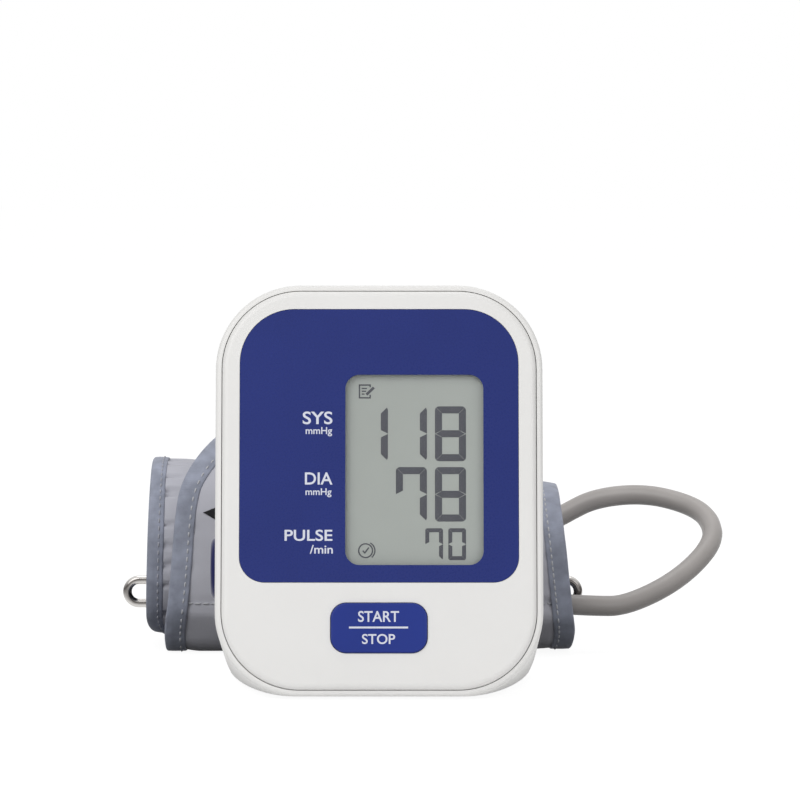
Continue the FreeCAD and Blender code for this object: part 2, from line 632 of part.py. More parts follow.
def air_pump():
    can = rod("motor_can", s.motor_radius, s.motor_length, on_pump(MOTOR_LEFT))
    bore = rod("motor_bore", s.shaft_radius + s.fit, s.shaft_reach + s.play, on_pump(MOTOR_LEFT))
    node(cut("pump_motor", can, bore), "pump_motor", FACE)
    block = slab("housing_block", s.pump_side, s.pump_side, s.pump_corner, s.housing_length,
                 on_pump(HOUSING_LEFT))
    hollow = rod("housing_hollow", s.pump_side / 2 - s.housing_wall, s.housing_length, on_pump(HOUSING_LEFT))
    node(cut("pump_housing", block, hollow), "pump_housing", FACE)
    sheet = slab("diaphragm_sheet", s.pump_side, s.pump_side, s.pump_corner, s.sheet_thick,
                 on_pump(SHEET_LEFT))
    cups = []
    for index in range(CUP_COUNT):
        angle = 2 * math.pi * index / CUP_COUNT
        up = s.cup_circle * math.cos(angle)
        out = s.cup_circle * math.sin(angle)
        cups.append(rod("diaphragm_cup", s.cup_radius, s.cup_length, on_pump(HOUSING_LEFT, up, out)))
    node(fuse("diaphragm", sheet, *cups), "diaphragm", FACE)
    node(rod("drive_plate", s.plate_radius, s.plate_thick, on_pump(PLATE_LEFT)), "drive_plate", FACE)
    cap = slab("cap_block", s.pump_side, s.pump_side, s.pump_corner, s.cap_length, on_pump(CAP_LEFT))
    nozzle = rod("cap_nozzle", s.nozzle_radius, s.nozzle_length, on_pump(CAP_LEFT - s.nozzle_length))
    node(fuse("pump_cap", cap, nozzle), "pump_cap", FACE)
    shaft = rod("crank_shaft", s.shaft_radius, MOTOR_LEFT + s.shaft_reach - CRANK_LEFT, on_pump(CRANK_LEFT))
    disc = rod("crank_disc", s.crank_radius, s.crank_thick, on_pump(CRANK_LEFT))
    pin_left = PLATE_LEFT + s.plate_thick + s.play
    pin = rod("crank_pin", s.crank_pin_radius, CRANK_LEFT - pin_left, on_pump(pin_left, s.crank_throw))
    node(fuse("pump_crank", shaft, disc, pin), "pump_crank", FACE)
    thick = s.pump_depth - s.pump_side / 2 - BOARD_BACK
    foam = box("pump_pad", s.housing_length, s.foam_height, thick,
               place((HOUSING_LEFT + MOTOR_LEFT) / 2, PUMP_RISE, -(BOARD_BACK + thick)))
    node(foam, "pump_pad", FACE)


# Exhaust valve, pressure sensor, jack and the air lines between them, in the face frame

JACK = FACE.inverse().multVec(Vector(0, float(s.jack_back), float(s.jack_height)))
VALVE_BACK = BOARD_BACK + s.valve_side
SENSOR_BACK = BOARD_BACK + s.sensor_thick
TEE_LOW = s.valve_rise - s.tee_length / 2
LINE_BORE = s.nozzle_radius + s.fit


def exhaust_valve():
    right = s.valve_length / 2 + VALVE_X
    depth = BOARD_BACK + s.valve_side / 2
    block = box("valve_block", s.valve_length, s.valve_side, s.valve_side,
                place(VALVE_X, s.valve_rise, -VALVE_BACK))
    nozzle = rod("valve_nozzle", s.nozzle_radius, s.barb_length,
                 place(BRANCH_X, s.valve_rise, -(VALVE_BACK + s.barb_length)))
    sunk = s.armature_length + s.armature_travel + s.play
    bore = rod("valve_bore", s.armature_radius + s.fit, sunk,
               place(right - sunk, s.valve_rise, -depth, ALONG_X))
    node(cut("exhaust_valve", fuse("valve_solid", block, nozzle), bore), "exhaust_valve", FACE)
    stand = s.armature_travel + s.play
    stem = rod("armature_stem", s.armature_radius, s.armature_length + stand,
               place(right - s.armature_length, s.valve_rise, -depth, ALONG_X))
    head = rod("armature_head", s.armature_head, s.armature_head_thick,
               place(right + stand, s.valve_rise, -depth, ALONG_X))
    node(fuse("valve_armature", stem, head), "valve_armature", FACE)


def pressure_sensor():
    block = box("sensor_block", s.sensor_side, s.sensor_side, s.sensor_thick,
                place(SENSOR_X, JACK.y, -SENSOR_BACK))
    port = rod("sensor_nozzle", s.nozzle_radius, s.sensor_port,
               place(SENSOR_X, JACK.y, -(SENSOR_BACK + s.sensor_port)))
    node(fuse("pressure_sensor", block, port), "pressure_sensor", FACE)


def air_jack():
    body = rod("jack_body", s.jack_radius, s.jack_length, place(-SCOOP_FLOOR, JACK.y, JACK.z, ALONG_X))
    flange = rod("jack_collar", s.jack_flange, s.jack_flange_thick,
                 place(s.scoop_wall - SCOOP_FLOOR, JACK.y, JACK.z, ALONG_X))
    reach = s.jack_radius + s.barb_length
    upper = rod("jack_upper_barb", s.nozzle_radius, reach, place(BRANCH_X, JACK.y, JACK.z, ALONG_Y))
    front = rod("jack_front_barb", s.nozzle_radius, reach, place(SENSOR_X, JACK.y, JACK.z))
    bore = rod("jack_bore_cut", s.jack_bore, s.jack_depth, place(-SCOOP_FLOOR, JACK.y, JACK.z, ALONG_X))
    node(cut("air_jack", fuse("jack_solid", body, flange, upper, front), bore), "air_jack", FACE)


def air_lines():
    body = rod("tee_body", s.tee_radius, s.tee_length, place(BRANCH_X, TEE_LOW, JACK.z, ALONG_Y))
    upper = rod("tee_upper_barb", s.nozzle_radius, s.tee_length + s.barb_length / 2,
                place(BRANCH_X, TEE_LOW, JACK.z, ALONG_Y))
    branch = rod("tee_branch", s.nozzle_radius, s.tee_radius + s.barb_length,
                 place(BRANCH_X, s.valve_rise, JACK.z))
    node(fuse("air_tee", body, upper, branch), "air_tee", FACE)
    jack_top = JACK.y + float(s.jack_radius)
    to_jack = tube("jack_line", s.line_radius, LINE_BORE, TEE_LOW - jack_top,
                   place(BRANCH_X, jack_top, JACK.z, ALONG_Y))
    tee_face = JACK.z + float(s.tee_radius)
    to_valve = tube("valve_line", s.line_radius, LINE_BORE, -VALVE_BACK - tee_face,
                    place(BRANCH_X, s.valve_rise, tee_face))
    jack_face = JACK.z + float(s.jack_radius)
    to_sensor = tube("sensor_line", s.line_radius, LINE_BORE, -SENSOR_BACK - jack_face,
                     place(SENSOR_X, JACK.y, jack_face))
    climb = PUMP_RISE - s.valve_rise
    side = BRANCH_X
    route = [(side, TEE_LOW + s.tee_length, JACK.z),
             (side, TEE_LOW + s.tee_length + climb * line_rise_shares[0], JACK.z),
             (side - s.line_sway, PUMP_RISE - climb * line_rise_shares[1],
              (JACK.z - float(s.pump_depth)) / 2),
             (side - 2 * s.line_sway, PUMP_RISE, -s.pump_depth),
             (CAP_LEFT, PUMP_RISE, -s.pump_depth)]
    to_pump = pipe("pump_line", route, s.line_radius, LINE_BORE)
    node(group("inner_air_tubes", to_jack, to_valve, to_sensor, to_pump), "inner_air_tubes", FACE)


line_rise_shares = (0.35, 0.27)


# Tubes that follow straight runs and tangent arcs

def pipe(name, route, radius, bore):
    """A hollow tube along a route, each corner an arc as large as its two runs allow."""
    points = [Vector(*(float(value) for value in point)) for point in route]
    edges = []
    radii = []
    start = points[0]
    for before, corner, after in zip(points, points[1:], points[2:]):
        into = corner - before
        away = after - corner
        half_turn = into.getAngle(away) / 2
        setback = corner_share * min(into.Length, away.Length)
        radii.append(setback / math.tan(half_turn))
        first = corner - into.normalize() * setback
        last = corner + away.normalize() * setback
        bisector = (away - into).normalize()
        sagitta = radii[-1] / math.cos(half_turn) - radii[-1]
        edges.append(Part.LineSegment(start, first).toShape())
        edges.append(Part.Arc(first, corner + bisector * sagitta, last).toShape())
        start = last
    edges.append(Part.LineSegment(start, points[-1]).toShape())
    path = Part.Wire(edges)
    heading = points[1] - points[0]
    outer = Part.Wire(Part.makeCircle(float(radius), points[0], heading))
    inner = Part.Wire(Part.makeCircle(float(bore), points[0], heading))
    solid = path.makePipe(Part.Face(outer)).cut(path.makePipe(Part.Face(inner)))
    section = math.pi * (float(radius) ** 2 - float(bore) ** 2)
    print(name, "length", round(path.Length, 1), "least radius", round(min(radii), 1),
          "volume share", round(solid.Volume / (section * path.Length), 4))
    print(name, "radii", [round(value, 1) for value in radii])
    thing = doc.addObject("Part::Feature", name)
    thing.Shape = solid
    return thing


corner_share = 0.45


# Elbow plug in the side hollow

PLUG_INNER = SCOOP_FLOOR + s.plug_gap
PLUG_OUTER = HALF_WIDTH + s.plug_proud
OUTLET_X = -(PLUG_OUTER - s.outlet_radius - s.play)
OUTLET_END = s.jack_back + s.outlet_reach


def air_plug():
    disc = slab("plug_disc", 2 * s.plug_radius, 2 * s.plug_radius, s.plug_radius - s.fit,
                PLUG_OUTER - PLUG_INNER,
                place(-PLUG_INNER, s.jack_back, s.jack_height, Rotation(Y_AXIS, -QUARTER)),
                edge_round=s.plug_round)
    outlet = cone("plug_outlet", s.outlet_radius, s.tube_radius + s.outlet_lip, s.outlet_reach,
                  place(OUTLET_X, s.jack_back, s.jack_height, ALONG_Y))
    nozzle = rod("plug_nozzle_rod", s.jack_bore - s.fit, s.plug_nozzle + s.plug_round,
                 place(-(PLUG_INNER + s.plug_round), s.jack_back, s.jack_height, ALONG_X))
    node(fuse("air_plug", disc, outlet, nozzle), "air_plug")


# Arm cuff: an oval roll of cloth round its air bladder, with the free end wrapped round it

wrap_cover_share = 0.5
roll_corner_share = 0.452
roll_low_share = 0.42
wrap_corner_share = 0.396
wrap_low_share = 0.205
THIRD_TURN = 120
ACROSS = Rotation(Vector(1, 1, 1), THIRD_TURN)
ROLL_RISE = s.binding_lift + s.wrap_thick + s.wrap_gap
ROLL_BACK = s.roll_front + s.roll_depth
ROLL_TOP = ROLL_RISE + s.roll_height
LAYERS = s.shell_thick + s.bladder_thick + s.lining_thick + 2 * s.layer_gap
WRAP_FRONT = s.roll_front - s.wrap_front_gap
WRAP_BACK = ROLL_BACK + s.wrap_gap
WRAP_LOW = ROLL_RISE - s.wrap_gap
WRAP_HIGH = ROLL_TOP + s.wrap_top_gap
WRAP_END = s.roll_front + s.roll_depth * wrap_cover_share
ROLL_FALL = s.roll_drop / (s.cuff_left + s.cuff_right)
WRAP_FALL = s.wrap_drop / (s.wrap_left + s.wrap_right)


def oval(body, name, width, height, low, high, drop, inset, x):
    """One cross-section of the wound cuff, its top let down, inset all round, at a place along X."""
    kept = (height - drop) / height
    sketch = rounded_sketch(body, name, width - 2 * inset, height - drop - 2 * inset, low * kept - inset,
                            high * kept - inset)
    sketch.setExpression(".AttachmentOffset.Base.y", (-drop / 2).formula)
    sketch.setExpression(".AttachmentOffset.Base.z", x.formula)
    return sketch


def falling_slab(name, width, height, low, high, start, fall, inset, left, right, at):
    """A length of the wound cuff: straight from one cross-section to another."""
    body = doc.addObject("PartDesign::Body", name)
    first, last = [oval(body, f"{name}_{side}", width, height, low, high, (x - start) * fall, inset, x)
                   for side, x in (("left", left), ("right", right))]
    loft = body.newObject("PartDesign::AdditiveLoft", name + "_loft")
    loft.Profile = first
    loft.Sections = [last]
    loft.Ruled = True
    body.Placement = at
    return body


def roll_slab(name, inset, left, right):
    """The roll's oval, inset all round, from one place along X to another."""
    return falling_slab(name, s.roll_depth, s.roll_height, s.roll_depth * roll_low_share,
                        s.roll_depth * roll_corner_share, -s.cuff_left, ROLL_FALL, as_size(inset),
                        as_size(left), as_size(right),
                        place(0, s.roll_front + s.roll_depth / 2, ROLL_RISE + s.roll_height / 2, ACROSS))


def roll_layer(name, outer, inner, left, right):
    reach = s.play
    return cut(name, roll_slab(name + "_outer", outer, left, right),
               roll_slab(name + "_inner", inner, left - reach, right + reach))


def cuff_roll():
    end = s.binding_thick + s.layer_gap
    left = end - s.cuff_left
    right = s.cuff_right - end
    node(roll_layer("cuff_cloth", as_size(0), s.shell_thick, left, right), "cuff_cloth")
    bladder = s.shell_thick + s.layer_gap
    node(roll_layer("air_bladder", bladder, bladder + s.bladder_thick, left + s.bladder_inset,
                    right - s.bladder_inset), "air_bladder")
    node(roll_layer("cuff_lining", LAYERS - s.lining_thick, LAYERS, left, right), "cuff_lining")
    grow = s.binding_thick + s.layer_gap
    for side, low, high in (("left", -s.cuff_left, s.binding_width - s.cuff_left),
                            ("right", s.cuff_right - s.binding_width, s.cuff_right)):
        tape = roll_layer(f"tape_{side}", -grow, LAYERS + grow, low, high)
        inward = s.binding_thick if side == "left" else -s.binding_thick
        channel = roll_layer(f"channel_{side}", -s.layer_gap, LAYERS + s.layer_gap, low + inward,
                             high + inward)
        node(cut(f"{side}_binding", tape, channel), f"{side}_binding")


def wrap_slab(name, grow):
    """The outline that the free end follows round the roll, grown outwards."""
    width = WRAP_BACK - WRAP_FRONT
    return falling_slab(name, width, WRAP_HIGH - WRAP_LOW, width * wrap_low_share, width * wrap_corner_share,
                        -s.wrap_left, WRAP_FALL, -as_size(grow), -s.wrap_left, as_size(s.wrap_right),
                        place(0, (WRAP_FRONT + WRAP_BACK) / 2, (WRAP_LOW + WRAP_HIGH) / 2, ACROSS))


def wrap_shell(name, lift):
    """The free end's thickness, open at the top of the back where it comes off the roll."""
    reach = s.overrun + s.roll_depth
    opening = box(name + "_opening", s.wrap_left + s.wrap_right + 2 * s.overrun, reach,
                  s.overrun + s.roll_height, place(0, WRAP_END + reach / 2, ROLL_RISE + s.wrap_start))
    return cut(name, wrap_slab(name + "_out", s.wrap_thick + lift), wrap_slab(name + "_in", -lift), opening)


def tongue(name, inset):
    """Front outline of the free end, tapering upwards to large round corners."""
    high = WRAP_HIGH + s.tongue_spare
    below = s.overrun / high
    corners = [(-s.wrap_left - below * s.wrap_taper_left, -s.overrun),
               (s.wrap_right + below * s.wrap_taper_right, -s.overrun),
               (s.wrap_right - s.wrap_taper_right, high), (s.wrap_taper_left - s.wrap_left, high)]
    outline = [Vector(float(x), float(y), 0) for x, y in corners]
    reach = 2 * float(s.overrun) + float(s.roll_depth)
    block = Part.Face(Part.makePolygon(outline + outline[:1])).extrude(Vector(0, 0, reach))
    sides = [edge for edge in block.Edges if edge.BoundBox.ZLength > reach / 2]
    tops = [edge for edge in sides if edge.BoundBox.YMin > float(WRAP_LOW)]
    rounded = block.makeFillet(float(s.wrap_end_round), tops)
    face = next(face for face in rounded.Faces if face.BoundBox.ZMax < float(s.fit))
    if float(inset) > 0:
        face = face.makeOffset2D(-float(inset))
    thing = doc.addObject("Part::Feature", name)
    thing.Shape = face.extrude(Vector(0, 0, reach))
    thing.Placement = place(0, float(WRAP_FRONT) - float(s.overrun) + reach, 0, Rotation(X_AXIS, QUARTER))
    return thing


def cuff_wrap():
    inner = tongue("tongue_inner", s.wrap_binding)
    node(common("cuff_wrap", wrap_shell("wrap_cloth", as_size(0)), inner), "cuff_wrap")
    edged = common("wrap_edged", wrap_shell("wrap_tape", s.binding_lift), tongue("tongue_outer", 0))
    node(cut("wrap_binding", edged, tongue("tongue_hole", s.wrap_binding)), "wrap_binding")
    tilt = Rotation(Y_AXIS, math.degrees(math.atan(float(WRAP_FALL))))
    seat = place((s.wrap_right - s.wrap_left) / 2, WRAP_END - s.patch_length / 2,
                 WRAP_HIGH - s.wrap_drop / 2, tilt)
    patch = box("hook_patch", s.patch_width, s.patch_length, s.patch_thick,
                seat.multiply(place(z=-s.patch_thick)))
    node(patch, "hook_patch")


# Pull ring inside the roll, held by a sleeve sewn to the lining's front

RING_Y = s.roll_front + s.ring_back
RING_BEND = s.ring_height / 2 - s.ring_wire


def pull_ring():
    left = s.ring_height / 2 - s.ring_left
    right = s.ring_right - s.ring_height / 2
    pieces = [rod("ring_bar", s.ring_wire, right - left,
                  place(left, RING_Y, s.ring_rise + side * RING_BEND, ALONG_X)) for side in (-1, 1)]
    for x, turn in ((left, QUARTER), (right, -QUARTER)):
        bend = bind(doc.addObject("Part::Torus", "ring_bend"), Radius1=RING_BEND, Radius2=s.ring_wire)
        bend.Angle3 = 2 * QUARTER
        bend.Placement = place(x, RING_Y, s.ring_rise, ALONG_Y.multiply(Rotation(Z_AXIS, turn)))
        pieces.append(bend)
    node(fuse("pull_ring", *pieces), "pull_ring")
    middle = (left + right) / 2
    rise = s.ring_rise + RING_BEND
    start = place(middle - s.sleeve_length / 2, RING_Y, rise, ALONG_X)
    bore = s.ring_wire + s.fit
    loop = rod("sleeve_loop", bore + s.sleeve_thick, s.sleeve_length, start)
    strap = box("sleeve_strap", s.sleeve_length, s.ring_back, s.sleeve_thick,
                place(middle, RING_Y - s.ring_back / 2, rise - s.sleeve_thick / 2))
    hollow = rod("sleeve_bore", bore, s.sleeve_length, start)
    within = roll_slab("sleeve_limit", LAYERS + s.layer_gap, -s.cuff_left, s.cuff_right)
    sleeve = cut("sleeve_cloth", fuse("sleeve_solid", loop, strap), hollow)
    node(common("ring_sleeve", sleeve, within), "ring_sleeve")


# Air tube from the cuff's port to the elbow plug

END_CORNER = s.roll_depth * roll_low_share * (s.roll_height - s.roll_drop) / s.roll_height
PORT_DROP = ROLL_RISE + END_CORNER - s.port_rise
PORT_BEND = END_CORNER - LAYERS / 2
PORT_Y = float(s.roll_front + END_CORNER) - math.sqrt(float(PORT_BEND) ** 2 - float(PORT_DROP) ** 2)
PORT_END = s.cuff_right + s.port_reach

# Points of the route between the port and the plug, in millimetres.
TUBE_ROUTE = [
    (87, 109.7, 15.8), (103.2, 121.9, 22.6), (115, 136.1, 34.2), (114.4, 151.5, 41.5), (108.1, 161.2, 46),
    (92.9, 169.5, 49.1), (75.6, 174, 47), (64.5, 175.7, 41), (50, 178.5, 32.5), (34, 182, 23),
    (16, 187, 13.5), (-4, 194, 6.8), (-23, 204, 3.9), (-36, 220, 3.7), (-34.5, 241, 3.7),
    (-19.5, 255, 3.7), (1.5, 254.5, 3.7), (16.5, 240, 3.9), (19, 220, 6.3), (12.5, 204, 13), (3, 192, 25),
    (-8, 180, 40), (-17, 168, 57), (-25, 152, 71), (-32, 134, 79), (-38, 114, 81), (-42, 95, 76.5),
    (-45.5, 77, 68), (-47.7, 60, 56.5), (-49.2, 46, 46.5), (-49.65, 35, 40.2), (-49.65, 26, 37.7),
]


def air_tube():
    port = rod("tube_port", s.port_radius, s.port_reach, place(s.cuff_right, PORT_Y, s.port_rise, ALONG_X))
    node(port, "tube_port")
    lead = [(PORT_END, PORT_Y, s.port_rise), (PORT_END + s.port_lead, PORT_Y, s.port_rise)]
    route = [*lead, *TUBE_ROUTE, (OUTLET_X, OUTLET_END, s.jack_height)]
    node(pipe("air_tube", route, s.tube_radius, s.tube_bore), "air_tube")


def main():
    for build in (rear_case, base_pad, front_cover, face_overlay, display_lens, display_stack,
                  circuit_board, screws, start_button, battery_cover, cells, air_pump, exhaust_valve,
                  pressure_sensor, air_jack, air_lines, air_plug, cuff_roll, cuff_wrap, pull_ring, air_tube):
        build()
    doc.recompute()
    faulty = [thing.Name for thing in doc.Objects if set(thing.State) & {"Invalid", "Error"}]
    faulty += [thing.Label for thing in NODES if thing.Shape.isNull() or not thing.Shape.isValid()]
    if faulty:
        raise RuntimeError(f"These failed: {faulty}")
    os.makedirs("parts", exist_ok=True)
    for thing in NODES:
        thing.Shape.exportStep(f"parts/{thing.Label}.step")


main()
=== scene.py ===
import json
import math

import bmesh
import bpy
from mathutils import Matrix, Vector, noise


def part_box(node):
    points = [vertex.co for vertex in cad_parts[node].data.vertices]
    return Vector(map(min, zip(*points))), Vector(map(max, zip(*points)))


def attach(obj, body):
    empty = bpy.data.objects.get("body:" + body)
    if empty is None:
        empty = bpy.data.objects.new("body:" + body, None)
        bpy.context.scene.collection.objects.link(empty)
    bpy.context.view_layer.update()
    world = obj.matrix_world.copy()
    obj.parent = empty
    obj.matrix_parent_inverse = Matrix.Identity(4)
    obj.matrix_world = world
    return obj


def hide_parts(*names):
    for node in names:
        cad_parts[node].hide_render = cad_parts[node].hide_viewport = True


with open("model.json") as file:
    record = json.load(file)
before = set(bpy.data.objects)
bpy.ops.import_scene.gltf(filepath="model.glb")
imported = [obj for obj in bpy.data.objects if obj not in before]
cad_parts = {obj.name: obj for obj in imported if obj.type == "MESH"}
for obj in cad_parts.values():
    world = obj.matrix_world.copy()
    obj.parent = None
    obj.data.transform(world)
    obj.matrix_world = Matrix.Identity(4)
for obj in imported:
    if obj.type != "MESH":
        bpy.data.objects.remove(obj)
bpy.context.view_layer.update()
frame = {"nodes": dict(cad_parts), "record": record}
NODES = frame["nodes"]
scene = bpy.context.scene
MM = 0.001

# Camera at the photograph's place, looking slightly down, in metres
CAMERA_PLACE = (0.00664, -1.726, 0.198)
CAMERA_PITCH = math.radians(86.5)
CAMERA_LENS = 242.1
CAMERA_SENSOR = 36.0
CAMERA_REACH = 20.0

# Disk lamps: name, place, aim and width in metres, power in watts
LAMPS = (
    ("key", (-0.85, -1.15, 1.15), (0.0, 0.0, 0.06), 1.5, 13.8),
    ("fill", (0.95, -1.1, 0.55), (0.0, 0.0, 0.06), 0.9, 3.4),
    ("top", (0.1, 0.35, 1.35), (0.0, 0.1, 0.03), 1.0, 3.6),
)
WORLD_LIGHT = 0.43
WHITE = (1.0, 1.0, 1.0, 1.0)

# Floor, in metres: white to the eye; the light that it throws back fades from its front to its back
FLOOR_SIZE = 6.0
FLOOR_DROP = 0.0002
FLOOR_PALE = (0.85, 0.85, 0.85, 1.0)
FLOOR_GLOW, FLOOR_GLOW_SHARE = 1.16, 0.8
FADE_FRONT, FADE_BACK = -0.04, 0.05
FADE_PALE, FADE_DARK = 0.95, 0.05

# Air tube: port on the cuff, loop at the right, loop behind, over the cuff to the plug
TUBE_DIAMETER = 0.007
TUBE_ROUTE = (
    (63.0, 103.59, 16.2), (73.0, 103.59, 15.6), (84.2, 108.4, 15.2), (102.6, 121.4, 22.7),
    (115.8, 136.1, 34.2), (115.2, 151.5, 41.5), (108.1, 161.2, 46.0), (92.9, 169.5, 49.1),
    (75.6, 174.0, 47.0), (64.5, 175.7, 41.0), (50.0, 178.5, 32.5), (34.0, 182.0, 23.0),
    (16.0, 187.0, 13.5), (-4.0, 194.0, 6.8), (-23.0, 204.0, 3.9), (-36.0, 220.0, 3.7),
    (-34.5, 241.0, 3.7), (-19.5, 255.0, 3.7), (1.5, 254.5, 3.7), (16.5, 240.0, 3.9),
    (19.0, 220.0, 6.3), (12.5, 204.0, 13.0), (3.0, 192.0, 25.0), (-8.0, 180.0, 40.0),
    (-17.0, 168.0, 57.0), (-25.0, 152.0, 71.0), (-32.0, 134.0, 79.0), (-38.0, 114.0, 81.0),
    (-42.0, 95.0, 76.5), (-45.5, 77.0, 68.0), (-47.7, 60.0, 56.5), (-49.2, 46.0, 46.5),
    (-49.65, 35.0, 40.2), (-49.65, 26.0, 37.7), (-49.65, 18.0, 37.7),
)

# Cuff's roll, in mm: it falls towards the right, its left end leans in and its left foot turns up
ROLL_LEFT, ROLL_RIGHT = -80.6, 59.0
ROLL_FRONT, ROLL_BACK = 98.5, 160.5
ROLL_LOW, ROLL_HIGH = 3.9, 63.9
ROLL_LOW_ROUND, ROLL_HIGH_ROUND = 26.0, 28.0
ROLL_WALL = 6.0
ROLL_FALL_SHARE, ROLL_EASE_SHARE = 12.4 / 60.0, 0.1
ROLL_LEAN_SHARE, ROLL_LEAN_RUN = 0.03, 30.0
ROLL_FOOT = (2.4, 1.3)
ROLL_FOOT_RISE, ROLL_FOOT_RUN = 8.5, 14.0

# Rumples of cloth and tape: height and wave in mm, and a seed
ROLL_LONG_CREASE, ROLL_SHORT_CREASE = (0.4, 14.0, 2), (0.25, 7.0, 3)
ROLL_PUCKER_LINES = (1.0, 7.0, 1)
WRAP_LONG_CREASE, WRAP_SHORT_CREASE = (0.6, 18.0, 9), (0.25, 7.0, 10)
WRAP_PUCKER, WRAP_UNDERSIDE = (0.5, 5.0, 8), (0.3, 20.0, 11)
SLEEVE_RUMPLE, STRAP_RUMPLE = (0.1, 4.0, 17), (0.3, 12.0, 18)
LONG_CREASE_SHARES, SHORT_CREASE_SHARE, PUCKER_LINE_SHARE = (0.5, 0.4), 0.6, 0.12

# Roll's cloth, in mm: lifted beside its tapes, tucked under them, crowned and puckered
ROLL_STEP, ROLL_COLUMNS, ROLL_INSET = 1.1, 90, 0.5
ROLL_LIFT, ROLL_TUCK, ROLL_TUCK_REACH, ROLL_MOST = 0.2, -0.3, 1.0, 0.75
CROWN, CROWN_RUN = 0.35, 4.0
PUCKER, PUCKER_RUN, PUCKER_EDGE, PUCKER_SHIFT = -1.8, 7.0, 0.3, 2.4
PUCKER_WIDTH_SHARE = 0.065
LINING_RISE, LINING_CREASE_SHARE = 0.9, 0.6

# Folded edge tape, in mm: its section's outside runs from the sewn edge to the fold as a share of the
# width, a length along and a length outward
TAPE_OUTSIDE = ((1.0, 0.0, -0.15), (0.92, 0.0, 0.0), (0.4, 0.0, 0.1), (0.0, 0.6, -0.05), (0.0, 0.12, -0.5))
TAPE_FLAT_SHARE, TAPE_BEND, TAPE_BEND_RISE = 0.4, 0.6, 0.2

# Roll's tapes, in mm
TAPE_WIDTH = 5.8
ROLL_TAPE_STEP, ROLL_TAPE_INSET, ROLL_TAPE_THICK = 2.0, 0.1, 0.5
ROLL_TAPE_UNDER, ROLL_TAPE_OVER = 0.3, 0.55
ROLL_TAPE_SHIFT, ROLL_TAPE_LIFT = (0.25, 16.0), (0.2, 6.0)
ROLL_SEW_INSET, ROLL_SEW_LIFT, ROLL_SEW_PITCH = 1.6, 0.16, 2.7

# Cuff's outer turn, in mm: from behind, under the roll, up its front and over its top to a rounded end
WRAP_FRONT, WRAP_BACK = 93.3, 161.5
WRAP_LOW, WRAP_HIGH = 2.9, 72.4
WRAP_LOW_ROUND, WRAP_HIGH_ROUND = 14.0, 27.0
WRAP_FOLD_RISE, WRAP_FOLD_RUN = 16.0, 9.0
WRAP_FOLD_ROUNDS = (8.0, 5.0)
WRAP_START, WRAP_END = 38.9, 129.5
WRAP_THICK = 2.6
WRAP_SIDES = (-74.4, 67.0)
WRAP_TIP, WRAP_TIP_ROUND, WRAP_TIP_LEAST = 78.7, 29.5, 1.0
WRAP_SLOPES = (9.7 / WRAP_TIP, 8.6 / WRAP_TIP)
WRAP_FALL = 19.8 / (WRAP_HIGH - WRAP_LOW) / (WRAP_SIDES[1] - WRAP_SIDES[0])
WRAP_TUCKS = (1.2, 2.6)
WRAP_TUCK_RISE = 9.0
WRAP_BULGE, WRAP_BULGE_RISE, WRAP_BULGE_SPREAD = 1.1, 48.0, 17.0
WRAP_EDGE_ROUNDS = 5
TABLE_GAP = 0.1

# Wrap's cloth, tape and seam, in mm
WRAP_STEP, WRAP_COLUMNS = 1.8, 70
WRAP_SWELL, WRAP_SWELL_RUN, WRAP_SINK = 1.0, 6.0, 0.2
WRAP_CLOTH_TUCK, WRAP_HEM_INSET, WRAP_HEM_FACES = 1.2, 0.8, (0.4, WRAP_THICK - 0.5)
WRAP_TAPE = 7.0
WRAP_TAPE_UNDER, WRAP_TAPE_OVER, WRAP_TAPE_THICK = 0.25, 0.35, 0.4
WRAP_TAPE_SHIFT, WRAP_TAPE_LIFT = (0.2, 14.0), (0.15, 6.0)
WRAP_SEW_INSET, WRAP_SEW_LIFT, WRAP_SEW_PITCH = 1.7, 0.45, 2.9
SEAM_RISE, SEAM_GROOVE, SEAM_WIDTH, SEAM_REACH = 17.7, 0.9, 1.6, 20.0
SEAM_INSET, SEAM_LIFT, SEAM_PITCH = 0.5, 0.45, 2.8

# Stitches: length and radius in mm, and the thread's section as shares of them
ROLL_STITCH, WRAP_STITCH, SEAM_STITCH = (1.8, 0.26), (1.9, 0.29), (2.2, 0.28)
STITCH_SHARES = ((-0.5, 0.35), (-0.32, 0.9), (0.0, 1.0), (0.32, 0.9), (0.5, 0.35))
STITCH_SINK_SHARE, STITCH_SIDES = 0.9, 6

# Mark printed on the wrap, in mm
MARK_TIP, MARK_BASE, MARK_RISE, MARK_HALF, MARK_LEAST = -60.0, -53.0, 49.6, 3.2, 0.05
MARK_LIFT, MARK_THICK = 0.25, 0.25
MARK_COLUMNS, MARK_SHARES, MARK_STEP = 8, (-1.0, -0.5, 0.0, 0.5, 1.0), 0.03
MARK_FRONT_REACH, MARK_FRONT_FOOT = 115.0, 20.0

# Hook tape under the wrap's free end, in mm; a hook's wire as lengths along and down
HOOK_SHEET_TOP, HOOK_SHEET_BASE, HOOK_SHEET_COLUMNS = 0.05, 0.5, 60
HOOK_COLUMNS, HOOK_ROWS, HOOK_MARGIN, HOOK_WIRE = 48, 7, 0.6, 0.12
HOOK_BEND = ((0.0, 0.1), (0.0, -0.35), (0.12, -0.6), (0.35, -0.65), (0.5, -0.5))

# Sewn sleeve round the ring, in mm
SLEEVE_COLUMNS, SLEEVE_TURNS = 80, 21
SLEEVE_OPEN, SLEEVE_CLOSE = math.radians(163.0), math.radians(170.0)
SLEEVE_WALL, SLEEVE_HEM, SLEEVE_HEM_COLUMNS, SLEEVE_RUMPLE_RADIUS = 0.6, 0.15, 1.5, 3.0
STRAP_REACH, STRAP_HALF = 0.9, 0.4

# Face of the monitor: leaning plane, rise up the face and depth behind it, in mm
FACE_LEAN = math.radians(12.0)
FACE_FOOT = (-40.0, 1.4)

